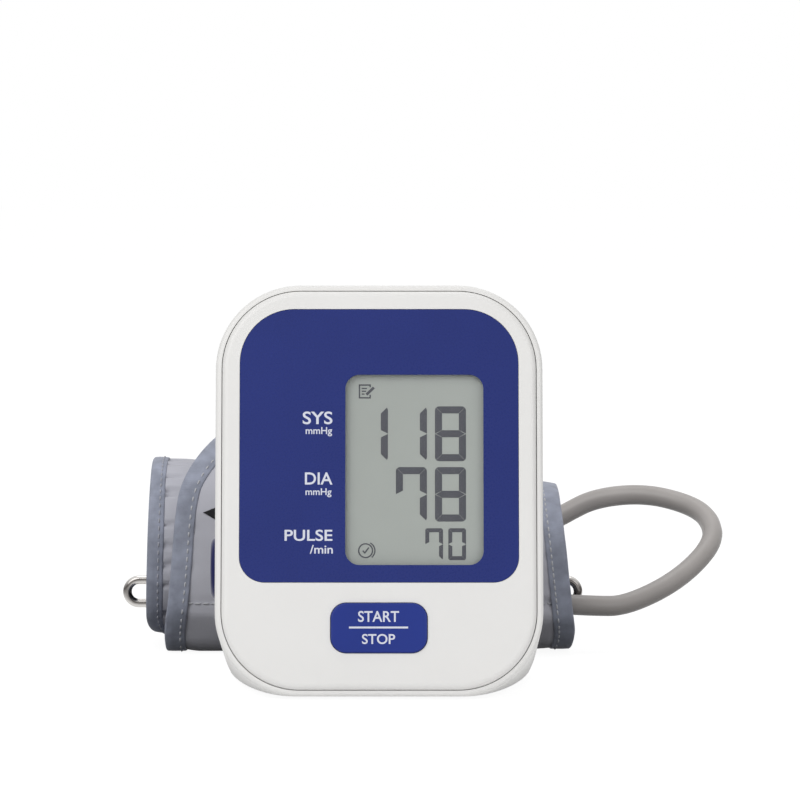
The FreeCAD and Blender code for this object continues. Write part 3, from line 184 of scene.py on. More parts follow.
# Display's cell, in mm: glass, a step through the holder's window, and a film close behind the lens
CELL_CORNER, CORNER_STEPS = 1.0, 8
LENS_MARGIN, LENS_CLEARANCE, WINDOW_CORNER = 2.0, 0.08, 4.5
FILM_THICK, FILM_MARGIN, FILM_CORNER = 0.4, 0.7, 5.8

# Seven-bar figures: name, figures, foot, height, width, bar, gap and right edge, in mm
FIGURES = (
    ("upper_figure", "118", 75.0, 17.6, 9.85, 2.25, 2.55, 27.6),
    ("lower_figure", "78", 55.7, 17.4, 9.85, 2.25, 2.55, 27.58),
    ("pulse_figure", "70", 43.4, 10.15, 5.6, 1.25, 1.7, 27.55),
)
LIT_BARS = {"0": "abcdef", "1": "bc", "7": "abcf", "8": "abcdefg"}
BAR_GAP_SHARE, BAR_ROUND_SHARE, BAR_TIP_SHARE = 0.025, 0.55, 0.12
BAR_TURNS = [math.radians(angle) for angle in (0.0, 15.0, 30.0, 45.0)]
FIGURE_LIFT, FIGURE_THICK = 0.01, 0.06

# Marks on the display, in mm: strokes from place to place with a width; arcs with an offset to the right,
# a radius, a width, two angles and a count of quads
PAGE_PLACE, TICK_PLACE = (-6.45, 95.15), (-4.25, 46.4)
PAGE_STROKES = (
    (0.2, 0.2, 0.2, 4.3, 0.45), (0.0, 4.3, 3.8, 4.3, 0.45), (0.0, 0.2, 3.8, 0.2, 0.45),
    (3.6, 0.2, 3.6, 1.2, 0.45), (3.6, 3.6, 3.6, 4.3, 0.45), (0.9, 3.2, 2.6, 3.2, 0.4),
    (0.9, 2.3, 2.3, 2.3, 0.4), (0.9, 1.4, 1.8, 1.4, 0.4), (2.4, 1.2, 4.8, 3.5, 0.85),
)
TICK_ARCS = ((0.0, 2.4, 0.42, 0.0, math.tau, 32), (0.2, 2.95, 0.4, -0.9, 1.1, 12))
TICK_STROKES = ((-0.9, 0.0, -0.2, -0.8, 0.45), (-0.3, -0.8, 1.0, 1.0, 0.45))

# Plain lettering: name, text, left, right, foot and head, in mm
FACE_PRINT = (
    ("label_upper", "SYS", -24.25, -14.8, 86.55, 90.65),
    ("unit_upper", "mmHg", -23.3, -14.9, 82.7, 85.65),
    ("label_lower", "DIA", -23.5, -14.75, 67.25, 71.15),
    ("unit_lower", "mmHg", -23.3, -15.05, 63.2, 66.05),
    ("label_pulse", "PULSE", -29.9, -14.75, 49.25, 52.85),
    ("unit_pulse", "/min", -21.9, -14.6, 45.2, 47.95),
)
BUTTON_PRINT = (
    ("button_upper", "START", -6.6, 6.35, 23.4, 26.9),
    ("button_lower", "STOP", -5.35, 5.1, 16.4, 19.6),
)
BUTTON_LINE = ((-9.45, 21.35), (9.2, 21.35), (9.2, 21.95), (-9.45, 21.95))
PRINT_THICK = 0.05
LETTER_EXTRUDE, LETTER_WEIGHT, LETTER_STEPS = 0.02, 0.014, 5

# Distance between places that count as one, noise steps for each seed, radians in a unit of wave bands
SAME_PLACE = 0.000001
SEED_STEPS = (7.3, -3.1, 1.0)
WAVE_FACTOR = 20.0


# Materials


class Nodes:
    """Node tree of a material or of the world."""

    def __init__(self, owner):
        owner.use_nodes = True
        self.tree = owner.node_tree

    def add(self, kind, inputs=None, **settings):
        """A new node with its settings and inputs."""
        made = self.tree.nodes.new(kind)
        for key, value in settings.items():
            setattr(made, key, value)
        for key, value in (inputs or {}).items():
            self.feed(made, key, value)
        return made

    def feed(self, made, key, value):
        """Links a socket to an input, or sets the input to a value."""
        if isinstance(value, bpy.types.NodeSocket):
            self.tree.links.new(value, made.inputs[key])
        else:
            made.inputs[key].default_value = value

    def maths(self, kind, first, second=0.0):
        return self.add("ShaderNodeMath", {0: first, 1: second}, operation=kind).outputs["Value"]

    def seen(self):
        """One where the ray comes from the camera, a reflection or through glass, else zero."""
        path = self.add("ShaderNodeLightPath").outputs
        bounced = self.maths("MAXIMUM", path["Is Glossy Ray"], path["Is Transmission Ray"])
        return self.maths("MAXIMUM", path["Is Camera Ray"], bounced)

    def mixed(self, share, first, second):
        """Two shaders, with a share of the second."""
        shaders = {"Fac": share, 1: first.outputs[0], 2: second.outputs[0]}
        return self.add("ShaderNodeMixShader", shaders)


class Look(Nodes):
    """One node material with its Principled shader."""

    def __init__(self, name):
        self.material = bpy.data.materials.new(name)
        super().__init__(self.material)
        self.shader = self.tree.nodes["Principled BSDF"]

    def set(self, **sockets):
        for key, value in sockets.items():
            self.feed(self.shader, key.replace("_", " "), value)

    def place(self):
        return self.add("ShaderNodeTexCoord").outputs["Object"]

    def upward(self):
        """Upward part of the surface's normal."""
        normal = self.add("ShaderNodeNewGeometry").outputs["Normal"]
        return self.add("ShaderNodeSeparateXYZ", {"Vector": normal}).outputs["Z"]

    def noise(self, scale, detail):
        made = self.add("ShaderNodeTexNoise", {"Vector": self.place(), "Scale": scale, "Detail": detail})
        return made.outputs["Fac"]

    def bands(self, axes, pitch, inputs):
        """Threads across each axis, a pitch in metres apart."""
        inputs = {"Vector": self.place(), "Scale": 2 * math.pi / (pitch * WAVE_FACTOR), **inputs}
        return [self.add("ShaderNodeTexWave", inputs, wave_type="BANDS", bands_direction=axis).outputs["Fac"]
                for axis in axes]

    def around(self, back, up):
        """Threads round the cuff: one set where it stands, the other where it lies level."""
        rise = self.upward()
        level = self.maths("MULTIPLY", rise, rise)
        return self.add("ShaderNodeMix", {"Factor": level, "A": up, "B": back}).outputs["Result"]

    def ramp(self, value, low, high, at=(0.3, 0.7)):
        made = self.add("ShaderNodeValToRGB", {"Fac": value})
        for element, position, colour in zip(made.color_ramp.elements, at, (low, high)):
            element.position = position
            element.color = (*colour, 1.0)
        return made.outputs["Color"]

    def tint(self, value, colour, spread, at=(0.3, 0.7)):
        """A colour that the value makes darker and lighter by a spread."""
        return self.ramp(value, shade(colour, 1 - spread), shade(colour, 1 + spread), at)

    def span(self, value, low, high):
        made = self.add("ShaderNodeMapRange", {"Value": value, "To Min": low, "To Max": high})
        return made.outputs["Result"]

    def more(self, first, second, share):
        """First value with a share of the second added."""
        return self.maths("ADD", first, self.maths("MULTIPLY", second, share))

    def blend(self, first, second, share):
        """A share of the first value with the rest of the second."""
        return self.more(self.maths("MULTIPLY", first, share), second, 1.0 - share)

    def bump(self, height, depth, strength):
        made = self.add("ShaderNodeBump", {"Height": height, "Distance": depth, "Strength": strength})
        return made.outputs["Normal"]


def shade(colour, share):
    """A colour made lighter or darker by a share."""
    return tuple(min(1.0, c * share) for c in colour)


def moulded(name, colour, rough, spread, grain, depth, gloss, metallic=0.0):
    """Moulded or plated surface: faint mottling, fine grain and uneven roughness."""
    look = Look(name)
    broad = look.noise(scale=38.0, detail=4.0)
    fine = look.noise(scale=grain, detail=2.0)
    look.set(Base_Color=look.tint(broad, colour, spread), Metallic=metallic, Specular_IOR_Level=gloss,
             Roughness=look.span(fine, rough - 0.05, rough + 0.05),
             Normal=look.bump(fine, depth, strength=0.4))
    return look.material


def woven(name, colour, pitch, spread, depth, rough, sheen):
    """Plain weave: threads along the cuff and around it, with soft fading."""
    look = Look(name)
    along, back, up = look.bands("XYZ", pitch, {"Distortion": 0.6, "Detail": 1.0, "Detail Scale": 2.0})
    weave = look.maths("MULTIPLY", along, look.around(back, up))
    fade = look.noise(scale=45.0, detail=5.0)
    fuzz = look.noise(scale=2600.0, detail=2.0)
    mixed = look.blend(fade, weave, share=0.6)
    height = look.more(weave, fuzz, share=0.5)
    look.set(Base_Color=look.tint(mixed, colour, spread, at=(0.2, 0.75)),
             Roughness=look.span(fuzz, rough - 0.08, rough + 0.08), Specular_IOR_Level=0.25,
             Normal=look.bump(height, depth, strength=0.7), Sheen_Weight=sheen, Sheen_Roughness=0.5)
    return look.material


def ribbed(name, colour, pitch):
    """Binding tape: close ribs across the tape, mottled, with a slight sheen."""
    look = Look(name)
    back, up = look.bands("YZ", pitch, {"Distortion": 0.4})
    ribs = look.around(back, up)
    fade = look.noise(scale=190.0, detail=6.0)
    fuzz = look.noise(scale=3000.0, detail=2.0)
    mixed = look.blend(fade, ribs, share=0.88)
    height = look.more(ribs, fuzz, share=0.4)
    look.set(Base_Color=look.tint(mixed, colour, spread=0.24), Roughness=look.span(fuzz, 0.65, 0.85),
             Normal=look.bump(height, depth=0.00002, strength=0.5), Sheen_Weight=0.2, Sheen_Roughness=0.5,
             Specular_IOR_Level=0.3)
    return look.material


def painted_reflection_metal(name, colour, dark):
    """Polished wire with a painted reflection: colour painted bright on faces turned up or down and painted
    dark on its flanks.
    """
    look = Look(name)
    fine = look.noise(scale=700.0, detail=3.0)
    # Painted reflection: how far the normal turns up or down picks the bright colour, and the flanks get the
    # painted dark colour
    painted_reflection_mask = look.maths("ABSOLUTE", look.maths("ADD", look.upward(), -0.15))
    level = look.more(look.span(painted_reflection_mask, 0.0, 0.85), fine, share=0.15)
    look.set(Base_Color=look.ramp(level, dark, colour, at=(0.1, 0.55)), Metallic=1.0,
             Roughness=look.span(fine, 0.1, 0.2))
    return look.material


def wrapped_cell(name, colour, end_colour):
    """Shrink-wrapped cell with bare metal ends."""
    look = Look(name)
    bare = look.maths("GREATER_THAN", look.maths("ABSOLUTE", look.upward()), 0.9)
    fine = look.noise(scale=500.0, detail=2.0)
    wrap = look.tint(fine, colour, spread=0.15)
    metal = look.ramp(fine, shade(end_colour, 0.9), end_colour)
    mixed = look.add("ShaderNodeMix", {"Factor": bare, "A": wrap, "B": metal}, data_type="RGBA")
    look.set(Base_Color=mixed.outputs[2], Metallic=bare, Roughness=look.span(fine, 0.28, 0.4))
    return look.material


def display_look(name, colour):
    """Reflective liquid-crystal panel with a faint grain and an uneven tint."""
    look = Look(name)
    broad = look.noise(scale=16.0, detail=2.0)
    fine = look.noise(scale=4200.0, detail=1.0)
    mixed = look.blend(broad, fine, share=0.7)
    look.set(Base_Color=look.tint(mixed, colour, spread=0.05), Roughness=look.span(fine, 0.45, 0.6),
             Specular_IOR_Level=0.3)
    return look.material


def lens_look(name, dark, pale):
    """Clear window, with light scuffing in its gloss."""
    look = Look(name)
    scuff = look.noise(scale=300.0, detail=5.0)
    look.set(Base_Color=look.ramp(scuff, dark, pale), Roughness=look.span(scuff, 0.04, 0.1), Alpha=0.05,
             Specular_IOR_Level=0.25)
    return look.material


STEEL = (0.62, 0.62, 0.63)

# Moulded finishes: name, colour, roughness, spread of tone, grain, depth of grain in metres, gloss
MOULDED = (
    ("case_white", (0.79, 0.783, 0.768), 0.42, 0.012, 2600.0, 0.000012, 0.45),
    ("panel_blue", (0.0163, 0.0288, 0.17), 0.28, 0.05, 1500.0, 0.000006, 0.2),
    ("button_blue", (0.016, 0.034, 0.228), 0.32, 0.05, 2200.0, 0.00001, 0.2),
    ("plug_blue", (0.004, 0.006, 0.07), 0.34, 0.06, 2000.0, 0.000015, 0.2),
    ("pad_rubber", (0.12, 0.12, 0.125), 0.8, 0.1, 1400.0, 0.00006, 0.5),
    ("inner_plastic", (0.6, 0.6, 0.58), 0.5, 0.05, 1800.0, 0.00002, 0.5),
    ("inner_rubber", (0.25, 0.25, 0.26), 0.7, 0.1, 1500.0, 0.00004, 0.5),
    ("board_green", (0.03, 0.16, 0.07), 0.35, 0.2, 900.0, 0.00004, 0.5),
    ("chip_black", (0.02, 0.02, 0.022), 0.5, 0.2, 1600.0, 0.00003, 0.5),
    ("bladder_rubber", (0.16, 0.16, 0.17), 0.6, 0.1, 1800.0, 0.00002, 0.5),
    ("tube_rubber", (0.415, 0.389, 0.374), 0.38, 0.07, 1100.0, 0.00003, 0.45),
    ("print_white", (0.66, 0.68, 0.77), 0.4, 0.04, 2000.0, 0.000005, 0.5),
    ("segment_dark", (0.115, 0.118, 0.135), 0.6, 0.06, 2000.0, 0.000005, 0.1),
)

# Woven finishes: name, colour, pitch of threads in metres, spread of tone, depth in metres, roughness, sheen
WOVEN = (
    ("cuff_fabric", (0.55, 0.552, 0.612), 0.0004, 0.04, 0.00002, 0.85, 0.25),
    ("lining_fabric", (0.2, 0.21, 0.24), 0.001, 0.12, 0.00012, 0.85, 0.25),
    ("hook_tape", (0.05, 0.05, 0.06), 0.0014, 0.2, 0.0003, 0.7, 0.1),
    ("thread_pale", (0.6, 0.61, 0.64), 0.0004, 0.1, 0.00005, 0.85, 0.25),
    ("thread_soft", (0.46, 0.47, 0.52), 0.0004, 0.1, 0.00005, 0.85, 0.25),
    ("mark_black", (0.012, 0.012, 0.014), 0.0008, 0.2, 0.00012, 0.85, 0.25),
)
LOOKS = {
    "zinc_steel": moulded("zinc_steel", STEEL, 0.32, 0.08, 1300.0, 0.00002, 0.5, metallic=1.0),
    "cell_wrap": wrapped_cell("cell_wrap", (0.06, 0.06, 0.07), STEEL),
    "binding_tape": ribbed("binding_tape", (0.326, 0.35, 0.434), pitch=0.0004),
    # Ring's wire: painted reflection, bright above and below, painted dark on its flanks
    "ring_chrome": painted_reflection_metal("ring_chrome", (0.62, 0.6, 0.58), (0.1, 0.09, 0.085)),
    "clear_lens": lens_look("clear_lens", (0.03, 0.03, 0.03), (0.06, 0.06, 0.06)),
    "display": display_look("display", (0.455, 0.486, 0.458)),
    **{name: moulded(name, *values) for name, *values in MOULDED},
    **{name: woven(name, *values) for name, *values in WOVEN},
}


# Mesh helpers

def face_point(x, rise, depth):
    """World point in metres of a place on the monitor's face."""
    y = FACE_FOOT[0] + rise * math.sin(FACE_LEAN) + depth * math.cos(FACE_LEAN)
    z = FACE_FOOT[1] + rise * math.cos(FACE_LEAN) - depth * math.sin(FACE_LEAN)
    return Vector((x, y, z)) * MM


def face_span(node):
    """Least and most x, rise and depth behind the face, in mm, that a node's mesh reaches."""
    places = []
    for vertex in NODES[node].data.vertices:
        y, z = vertex.co.y / MM - FACE_FOOT[0], vertex.co.z / MM - FACE_FOOT[1]
        places.append((vertex.co.x / MM, y * math.sin(FACE_LEAN) + z * math.cos(FACE_LEAN),
                       y * math.cos(FACE_LEAN) - z * math.sin(FACE_LEAN)))
    return [(min(values), max(values)) for values in zip(*places)]


def even(first, last, number):
    """Places from first to last with a number of even steps between."""
    return [first + (last - first) * i / number for i in range(number + 1)]


def put(name, data):
    """New object in the scene."""
    made = bpy.data.objects.new(name, data)
    scene.collection.objects.link(made)
    return made


def finish_mesh(name, form, body, slot, look=None, smooth=True):
    """Makes an object of a bmesh, riding on a body, with its slot's finish or another look."""
    bmesh.ops.recalc_face_normals(form, faces=form.faces)
    mesh = bpy.data.meshes.new(name)
    form.to_mesh(mesh)
    form.free()
    for polygon in mesh.polygons:
        polygon.use_smooth = smooth
    mesh.materials.append(LOOKS[look or slot])
    made = put(name, mesh)
    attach(made, body)
    return made


def sweep(form, rings, loop):
    """Skins closed rings of points one after another, round or capped."""
    rows = [[form.verts.new(point) for point in ring] for ring in rings]
    count = len(rows[0])
    last = len(rows) if loop else len(rows) - 1
    for i in range(last):
        near, far = rows[i], rows[(i + 1) % len(rows)]
        for j in range(count):
            k = (j + 1) % count
            form.faces.new((near[j], near[k], far[k], far[j]))
    if not loop:
        form.faces.new(list(reversed(rows[0])))
        form.faces.new(rows[-1])


def shell(form, outer, inner, loop):
    """Closes an outer and an inner grid of points into one shell; gives its inner faces."""
    outer = [[form.verts.new(point) for point in row] for row in outer]
    inner = [[form.verts.new(point) for point in row] for row in inner]
    count, columns = len(outer), len(outer[0]) - 1
    within = []
    for i in range(count if loop else count - 1):
        k = (i + 1) % count
        for j in range(columns):
            form.faces.new((outer[i][j], outer[i][j + 1], outer[k][j + 1], outer[k][j]))
            within.append(form.faces.new((inner[i][j], inner[k][j], inner[k][j + 1], inner[i][j + 1])))
        for j in (0, -1):
            form.faces.new((outer[i][j], outer[k][j], inner[k][j], inner[i][j]))
    if not loop:
        for i in (0, -1):
            for j in range(columns):
                form.faces.new((outer[i][j], outer[i][j + 1], inner[i][j + 1], inner[i][j]))
    return within


def round_corner(before, here, after, radius):
    """Arc's two ends, then its middle, radius, first angle and turn; a point where the radius is zero."""
    if radius == 0.0:
        return here, here, None
    into, out = (here - before).normalized(), (after - here).normalized()
    turn = into.angle(out)
    cut = radius * math.tan(turn / 2)
    first, second = here - into * cut, here + out * cut
    side = 1.0 if into.x * out.y - into.y * out.x > 0 else -1.0
    middle = first + Vector((-into.y, into.x)) * side * radius
    begin = math.atan2(first.y - middle.y, first.x - middle.x)
    return first, second, (middle, radius, begin, side * turn)


def rounded_line(corners, closed, step):
    """Even samples (y, z, outward y, outward z) of a line with rounded corners."""
    count = len(corners)
    places = [Vector(corner[:2]) for corner in corners]
    ends = [round_corner(places[i - 1], places[i], places[(i + 1) % count], corners[i][2])
            for i in range(count)]
    parts = []
    for i, (first, second, arc) in enumerate(ends):
        if arc:
            parts.append(("arc", arc, abs(arc[3]) * arc[1]))
        if closed or i < count - 1:
            stop = ends[(i + 1) % count][0]
            parts.append(("run", (second, stop), (stop - second).length))
    total = sum(part[2] for part in parts)
    number = round(total / step)
    samples = []
    for i in range(number if closed else number + 1):
        left = total * i / number
        for kind, data, length in parts:
            if left <= length + SAME_PLACE:
                break
            left -= length
        if kind == "run":
            way = (data[1] - data[0]).normalized()
            at = data[0] + way * left
        else:
            middle, radius, begin, turn = data
            angle = begin + math.copysign(left / radius, turn)
            at = middle + Vector((math.cos(angle), math.sin(angle))) * radius
            way = Vector((-math.sin(angle), math.cos(angle))) * math.copysign(1.0, turn)
        samples.append((at.x, at.y, -way.y, way.x))
    return samples


def rumple(x, y, z, height, wave, seed):
    """Smooth noise at a place, with its height and the size of its waves in mm."""
    spot = [value / wave + step * seed for value, step in zip((x, y, z), SEED_STEPS)]
    return height * noise.noise(spot)


def stitch_row(form, spots, length, radius):
    """Short rounded threads in mm: each spot is a centre in metres, a way along and an outward way."""
    length, radius = length * MM, radius * MM
    turns = [math.tau * k / STITCH_SIDES for k in range(STITCH_SIDES)]
    for centre, way, out in spots:
        side = way.cross(out)
        rings = []
        for share, thick in STITCH_SHARES:
            sink = out * (-radius * STITCH_SINK_SHARE * (2 * abs(share)) ** 3)
            middle = centre + way * (length * share) + sink
            rings.append([middle + (side * math.cos(turn) + out * math.sin(turn)) * radius * thick
                          for turn in turns])
        sweep(form, rings, False)


# Camera, light, floor

def make_camera():
    data = bpy.data.cameras.new("camera")
    data.sensor_width = CAMERA_SENSOR
    data.lens = CAMERA_LENS
    data.clip_end = CAMERA_REACH
    scene.camera = put("camera", data)
    scene.camera.location = CAMERA_PLACE
    scene.camera.rotation_euler = (CAMERA_PITCH, 0.0, 0.0)


def make_lights():
    for name, place, aim, size, power in LAMPS:
        data = bpy.data.lights.new(name, "AREA")
        data.shape = "DISK"
        data.size = size
        data.energy = power
        lamp = put(name, data)
        lamp.location = place
        lamp.rotation_euler = (Vector(aim) - Vector(place)).to_track_quat("-Z", "Y").to_euler()


def make_world():
    """Plain light from all round, seen as white."""
    scene.world = bpy.data.worlds.new("studio")
    sky = Nodes(scene.world)
    sky.tree.nodes.clear()
    lit, shown = [sky.add("ShaderNodeBackground", {"Color": WHITE, "Strength": strength})
                  for strength in (WORLD_LIGHT, 1.0)]
    sky.add("ShaderNodeOutputWorld", {"Surface": sky.mixed(sky.seen(), lit, shown).outputs[0]})


def make_floor():
    """Floor that looks white with the object's soft shadow."""
    look = Look("floor")
    look.tree.nodes.remove(look.shader)
    back = look.add("ShaderNodeSeparateXYZ", {"Vector": look.place()}).outputs["Y"]
    fade = look.add("ShaderNodeMapRange", {"Value": back, "From Min": FADE_FRONT, "From Max": FADE_BACK,
                                           "To Min": FADE_PALE, "To Max": FADE_DARK}).outputs["Result"]
    plain = look.add("ShaderNodeBsdfDiffuse", {"Color": fade})
    pale = look.add("ShaderNodeBsdfDiffuse", {"Color": FLOOR_PALE})
    glow = look.add("ShaderNodeEmission", {"Color": WHITE, "Strength": FLOOR_GLOW})
    both = look.mixed(look.seen(), plain, look.mixed(FLOOR_GLOW_SHARE, pale, glow))
    look.feed(look.tree.nodes["Material Output"], "Surface", both.outputs[0])
    form = bmesh.new()
    bmesh.ops.create_grid(form, x_segments=1, y_segments=1, size=FLOOR_SIZE)
    mesh = bpy.data.meshes.new("floor")
    form.to_mesh(mesh)
    form.free()
    mesh.materials.append(look.material)
    floor = put("floor", mesh)
    floor.location.z = -FLOOR_DROP


# Air tube

def make_tube():
    """Rubber hose on one smooth spline, from the cuff's port to the plug."""
    data = bpy.data.curves.new("air_hose", "CURVE")
    data.dimensions = "3D"
    data.bevel_depth = TUBE_DIAMETER / 2
    data.bevel_resolution = 6
    data.use_fill_caps = True
    spline = data.splines.new("NURBS")
    spline.points.add(len(TUBE_ROUTE) - 1)
    for point, place in zip(spline.points, TUBE_ROUTE):
        point.co = (*(value * MM for value in place), 1.0)
    spline.order_u = 3
    spline.use_endpoint_u = True
    spline.resolution_u = 10
    data.materials.append(LOOKS["tube_rubber"])
    hose = put("air_hose", data)
    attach(hose, "cuff_set")
    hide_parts("air_tube")


# Cuff's roll

def roll_path(step):
    """Even samples round the roll's plain section."""
    return rounded_line(((ROLL_BACK, ROLL_HIGH, ROLL_HIGH_ROUND), (ROLL_BACK, ROLL_LOW, ROLL_LOW_ROUND),
                         (ROLL_FRONT, ROLL_LOW, ROLL_LOW_ROUND), (ROLL_FRONT, ROLL_HIGH, ROLL_HIGH_ROUND)),
                        True, step)


def roll_point(x, sample, out):
    """Point in metres that stands out of the roll's section by a length in mm."""
    y, z = sample[0] + sample[2] * out, sample[1] + sample[3] * out
    along = max(0.0, (x - ROLL_LEFT) / (ROLL_RIGHT - ROLL_LEFT))
    eased = math.hypot(along, ROLL_EASE_SHARE) - ROLL_EASE_SHARE
    eased /= math.hypot(1.0, ROLL_EASE_SHARE) - ROLL_EASE_SHARE
    lean = ROLL_LEAN_SHARE * (z - ROLL_LOW) * max(0.0, 1.0 - (x - ROLL_LEFT) / ROLL_LEAN_RUN)
    foot = max(0.0, 1.0 - (z - ROLL_LOW) / ROLL_FOOT_RISE) ** 2
    foot *= max(0.0, 1.0 - max(0.0, x - ROLL_LEFT) / ROLL_FOOT_RUN)
    level = ROLL_LOW + (z - ROLL_LOW) * (1.0 - ROLL_FALL_SHARE * eased)
    return Vector((x + lean + ROLL_FOOT[0] * foot, y, level + ROLL_FOOT[1] * foot)) * MM


def roll_crease(x, y, z):
    """Soft creases of the roll, in mm."""
    return (rumple(x * LONG_CREASE_SHARES[0], y, z, *ROLL_LONG_CREASE)
            + rumple(x, y * SHORT_CREASE_SHARE, z * SHORT_CREASE_SHARE, *ROLL_SHORT_CREASE))


def roll_swell(x, y, z):
    """How far the roll's cloth stands out of its plain section, in mm."""
    edge = min(x - ROLL_LEFT, ROLL_RIGHT - x) - TAPE_WIDTH
    near = math.exp(-max(edge, 0.0) / PUCKER_RUN)
    crown = CROWN * (1.0 - math.exp(-max(edge, 0.0) / CROWN_RUN))
    line = rumple(x * PUCKER_LINE_SHARE, y, z - PUCKER_SHIFT, *ROLL_PUCKER_LINES) / PUCKER_WIDTH_SHARE
    pucker = PUCKER * near * math.exp(-line ** 2) if edge >= PUCKER_EDGE else 0.0
    base = ROLL_LIFT if edge > -ROLL_TUCK_REACH else ROLL_TUCK
    return min(ROLL_MOST, base + crown + pucker + roll_crease(x, y, z) * (1.0 - near))


def make_roll():
    """Padded ring of cloth over the air bag, puckered beside the edge tapes, lined inside."""
    columns = even(ROLL_LEFT + ROLL_INSET, ROLL_RIGHT - ROLL_INSET, ROLL_COLUMNS)
    outer, inner = [], []
    for sample in roll_path(ROLL_STEP):
        y, z = sample[:2]
        outer.append([roll_point(x, sample, roll_swell(x, y, z)) for x in columns])
        depths = [ROLL_WALL - LINING_RISE + LINING_CREASE_SHARE * roll_crease(x, y, z) for x in columns]
        inner.append([roll_point(x, sample, -depth) for x, depth in zip(columns, depths)])
    form = bmesh.new()
    for face in shell(form, outer, inner, True):
        face.material_index = 1
    roll = finish_mesh("cuff_roll", form, "cuff_set", "cuff_fabric")
    roll.data.materials.append(LOOKS["lining_fabric"])
    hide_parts("cuff_cloth", "cuff_lining", "air_bladder")


def tape_ring(edge, way, width, low, high, thick):
    """Folded tape's section as (x, outward) points: round the cloth's edge and back."""
    middle = (low + high) / 2
    sides = [(width * share + along, out) for share, along, out in TAPE_OUTSIDE]
    bends = [(width, 0.0), (width * TAPE_FLAT_SHARE, 0.0), (thick + TAPE_BEND, TAPE_BEND_RISE)]
    ring = [(along, high + out) for along, out in sides] + [(0.0, middle)]
    ring += [(along, low - out) for along, out in reversed(sides)]
    ring += [(along, low + thick + rise) for along, rise in bends] + [(thick, middle)]
    ring += [(along, high - thick - rise) for along, rise in reversed(bends)]
    return [(edge + way * along, out) for along, out in ring]


def make_roll_tapes():
    """Edge tapes of the roll with their rows of stitches."""
    threads = bmesh.new()
    for name, piece, edge, way, seed in (("left_binding", "roll_tape_left", ROLL_LEFT, 1, 4),
                                         ("right_binding", "roll_tape_right", ROLL_RIGHT, -1, 5)):
        rings = []
        for sample in roll_path(ROLL_TAPE_STEP):
            width = TAPE_WIDTH + rumple(0.0, *sample[:2], *ROLL_TAPE_SHIFT, seed)
            high = ROLL_TAPE_OVER + rumple(0.0, *sample[:2], *ROLL_TAPE_LIFT, seed + 2)
            ring = tape_ring(edge + ROLL_TAPE_INSET * way, way, width, -ROLL_WALL - ROLL_TAPE_UNDER, high,
                             ROLL_TAPE_THICK)
            rings.append([roll_point(x, sample, out) for x, out in ring])
        form = bmesh.new()
        sweep(form, rings, True)
        tape = finish_mesh(piece, form, "cuff_set", "binding_tape")
        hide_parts(name)
        x = edge + way * (TAPE_WIDTH - ROLL_SEW_INSET)
        spots = []
        for sample in roll_path(ROLL_SEW_PITCH):
            y, z, oy, oz = sample
            lift = ROLL_TAPE_OVER + ROLL_SEW_LIFT + rumple(0.0, y, z, *ROLL_TAPE_LIFT, seed + 2)
            spots.append((roll_point(x, sample, lift), Vector((0.0, -oz, oy)), Vector((0.0, oy, oz))))
        stitch_row(threads, spots, *ROLL_STITCH)
    finish_mesh("roll_stitches", threads, "cuff_set", "binding_tape", "thread_soft")


# Cuff's wrap

def wrap_path(step):
    """Even samples along the wrap's plain line, which is its inner face."""
    return rounded_line(((WRAP_BACK, WRAP_START, 0.0), (WRAP_BACK, WRAP_LOW, WRAP_LOW_ROUND),
                         (WRAP_FRONT + WRAP_FOLD_RUN, WRAP_LOW, WRAP_FOLD_ROUNDS[0]),
                         (WRAP_FRONT, WRAP_FOLD_RISE, WRAP_FOLD_ROUNDS[1]),
                         (WRAP_FRONT, WRAP_HIGH, WRAP_HIGH_ROUND), (WRAP_END, WRAP_HIGH, 0.0)), False, step)


def wrap_level(x, z):
    """Height of a place on the wrap, let down towards the right."""
    return WRAP_LOW + (z - WRAP_LOW) * (1.0 - WRAP_FALL * (x - WRAP_SIDES[0]))


def wrap_plain(x, level):
    """Place on the wrap's plain line that is let down to a true height."""
    return WRAP_LOW + (level - WRAP_LOW) / (1.0 - WRAP_FALL * (x - WRAP_SIDES[0]))


def wrap_place(x, y, z):
    """Point of the wrap in metres, flat where it rests on the table."""
    return Vector((x, y, max(wrap_level(x, z), TABLE_GAP))) * MM


def wrap_point(x, sample, out):
    """Point in metres that stands out of the wrap's plain line by a length in mm."""
    return wrap_place(x, sample[0] + sample[2] * out, sample[1] + sample[3] * out)


def wrap_outline(side, z, inset):
    """X of the wrap's side at a true height, moved in from the edge by an inset."""
    way = (1.0, -1.0)[side]
    lean = math.atan(WRAP_SLOPES[side])
    radius = WRAP_TIP_ROUND
    rise = WRAP_TIP - radius
    middle = WRAP_SIDES[side] + way * (radius / math.cos(lean) + rise * math.tan(lean))
    touch = rise + radius * math.sin(lean)
    bulge = WRAP_BULGE * math.exp(-((z - WRAP_BULGE_RISE) / WRAP_BULGE_SPREAD) ** 2) if side == 0 else 0.0
    if z <= touch:
        tuck = WRAP_TUCKS[side] * max(0.0, 1.0 - z / WRAP_TUCK_RISE) ** 2
        return WRAP_SIDES[side] + way * (z * math.tan(lean) + inset / math.cos(lean) + tuck - bulge)
    reach = (radius - inset) ** 2 - (z - rise) ** 2
    return middle - way * (math.sqrt(max(reach, WRAP_TIP_LEAST)) + bulge)


def wrap_edge(side, z, inset):
    """X of the wrap's side at a place on its plain line, before that line is let down."""
    x = WRAP_SIDES[side]
    for _ in range(WRAP_EDGE_ROUNDS):
        x = wrap_outline(side, wrap_level(x, z), inset)
    return x


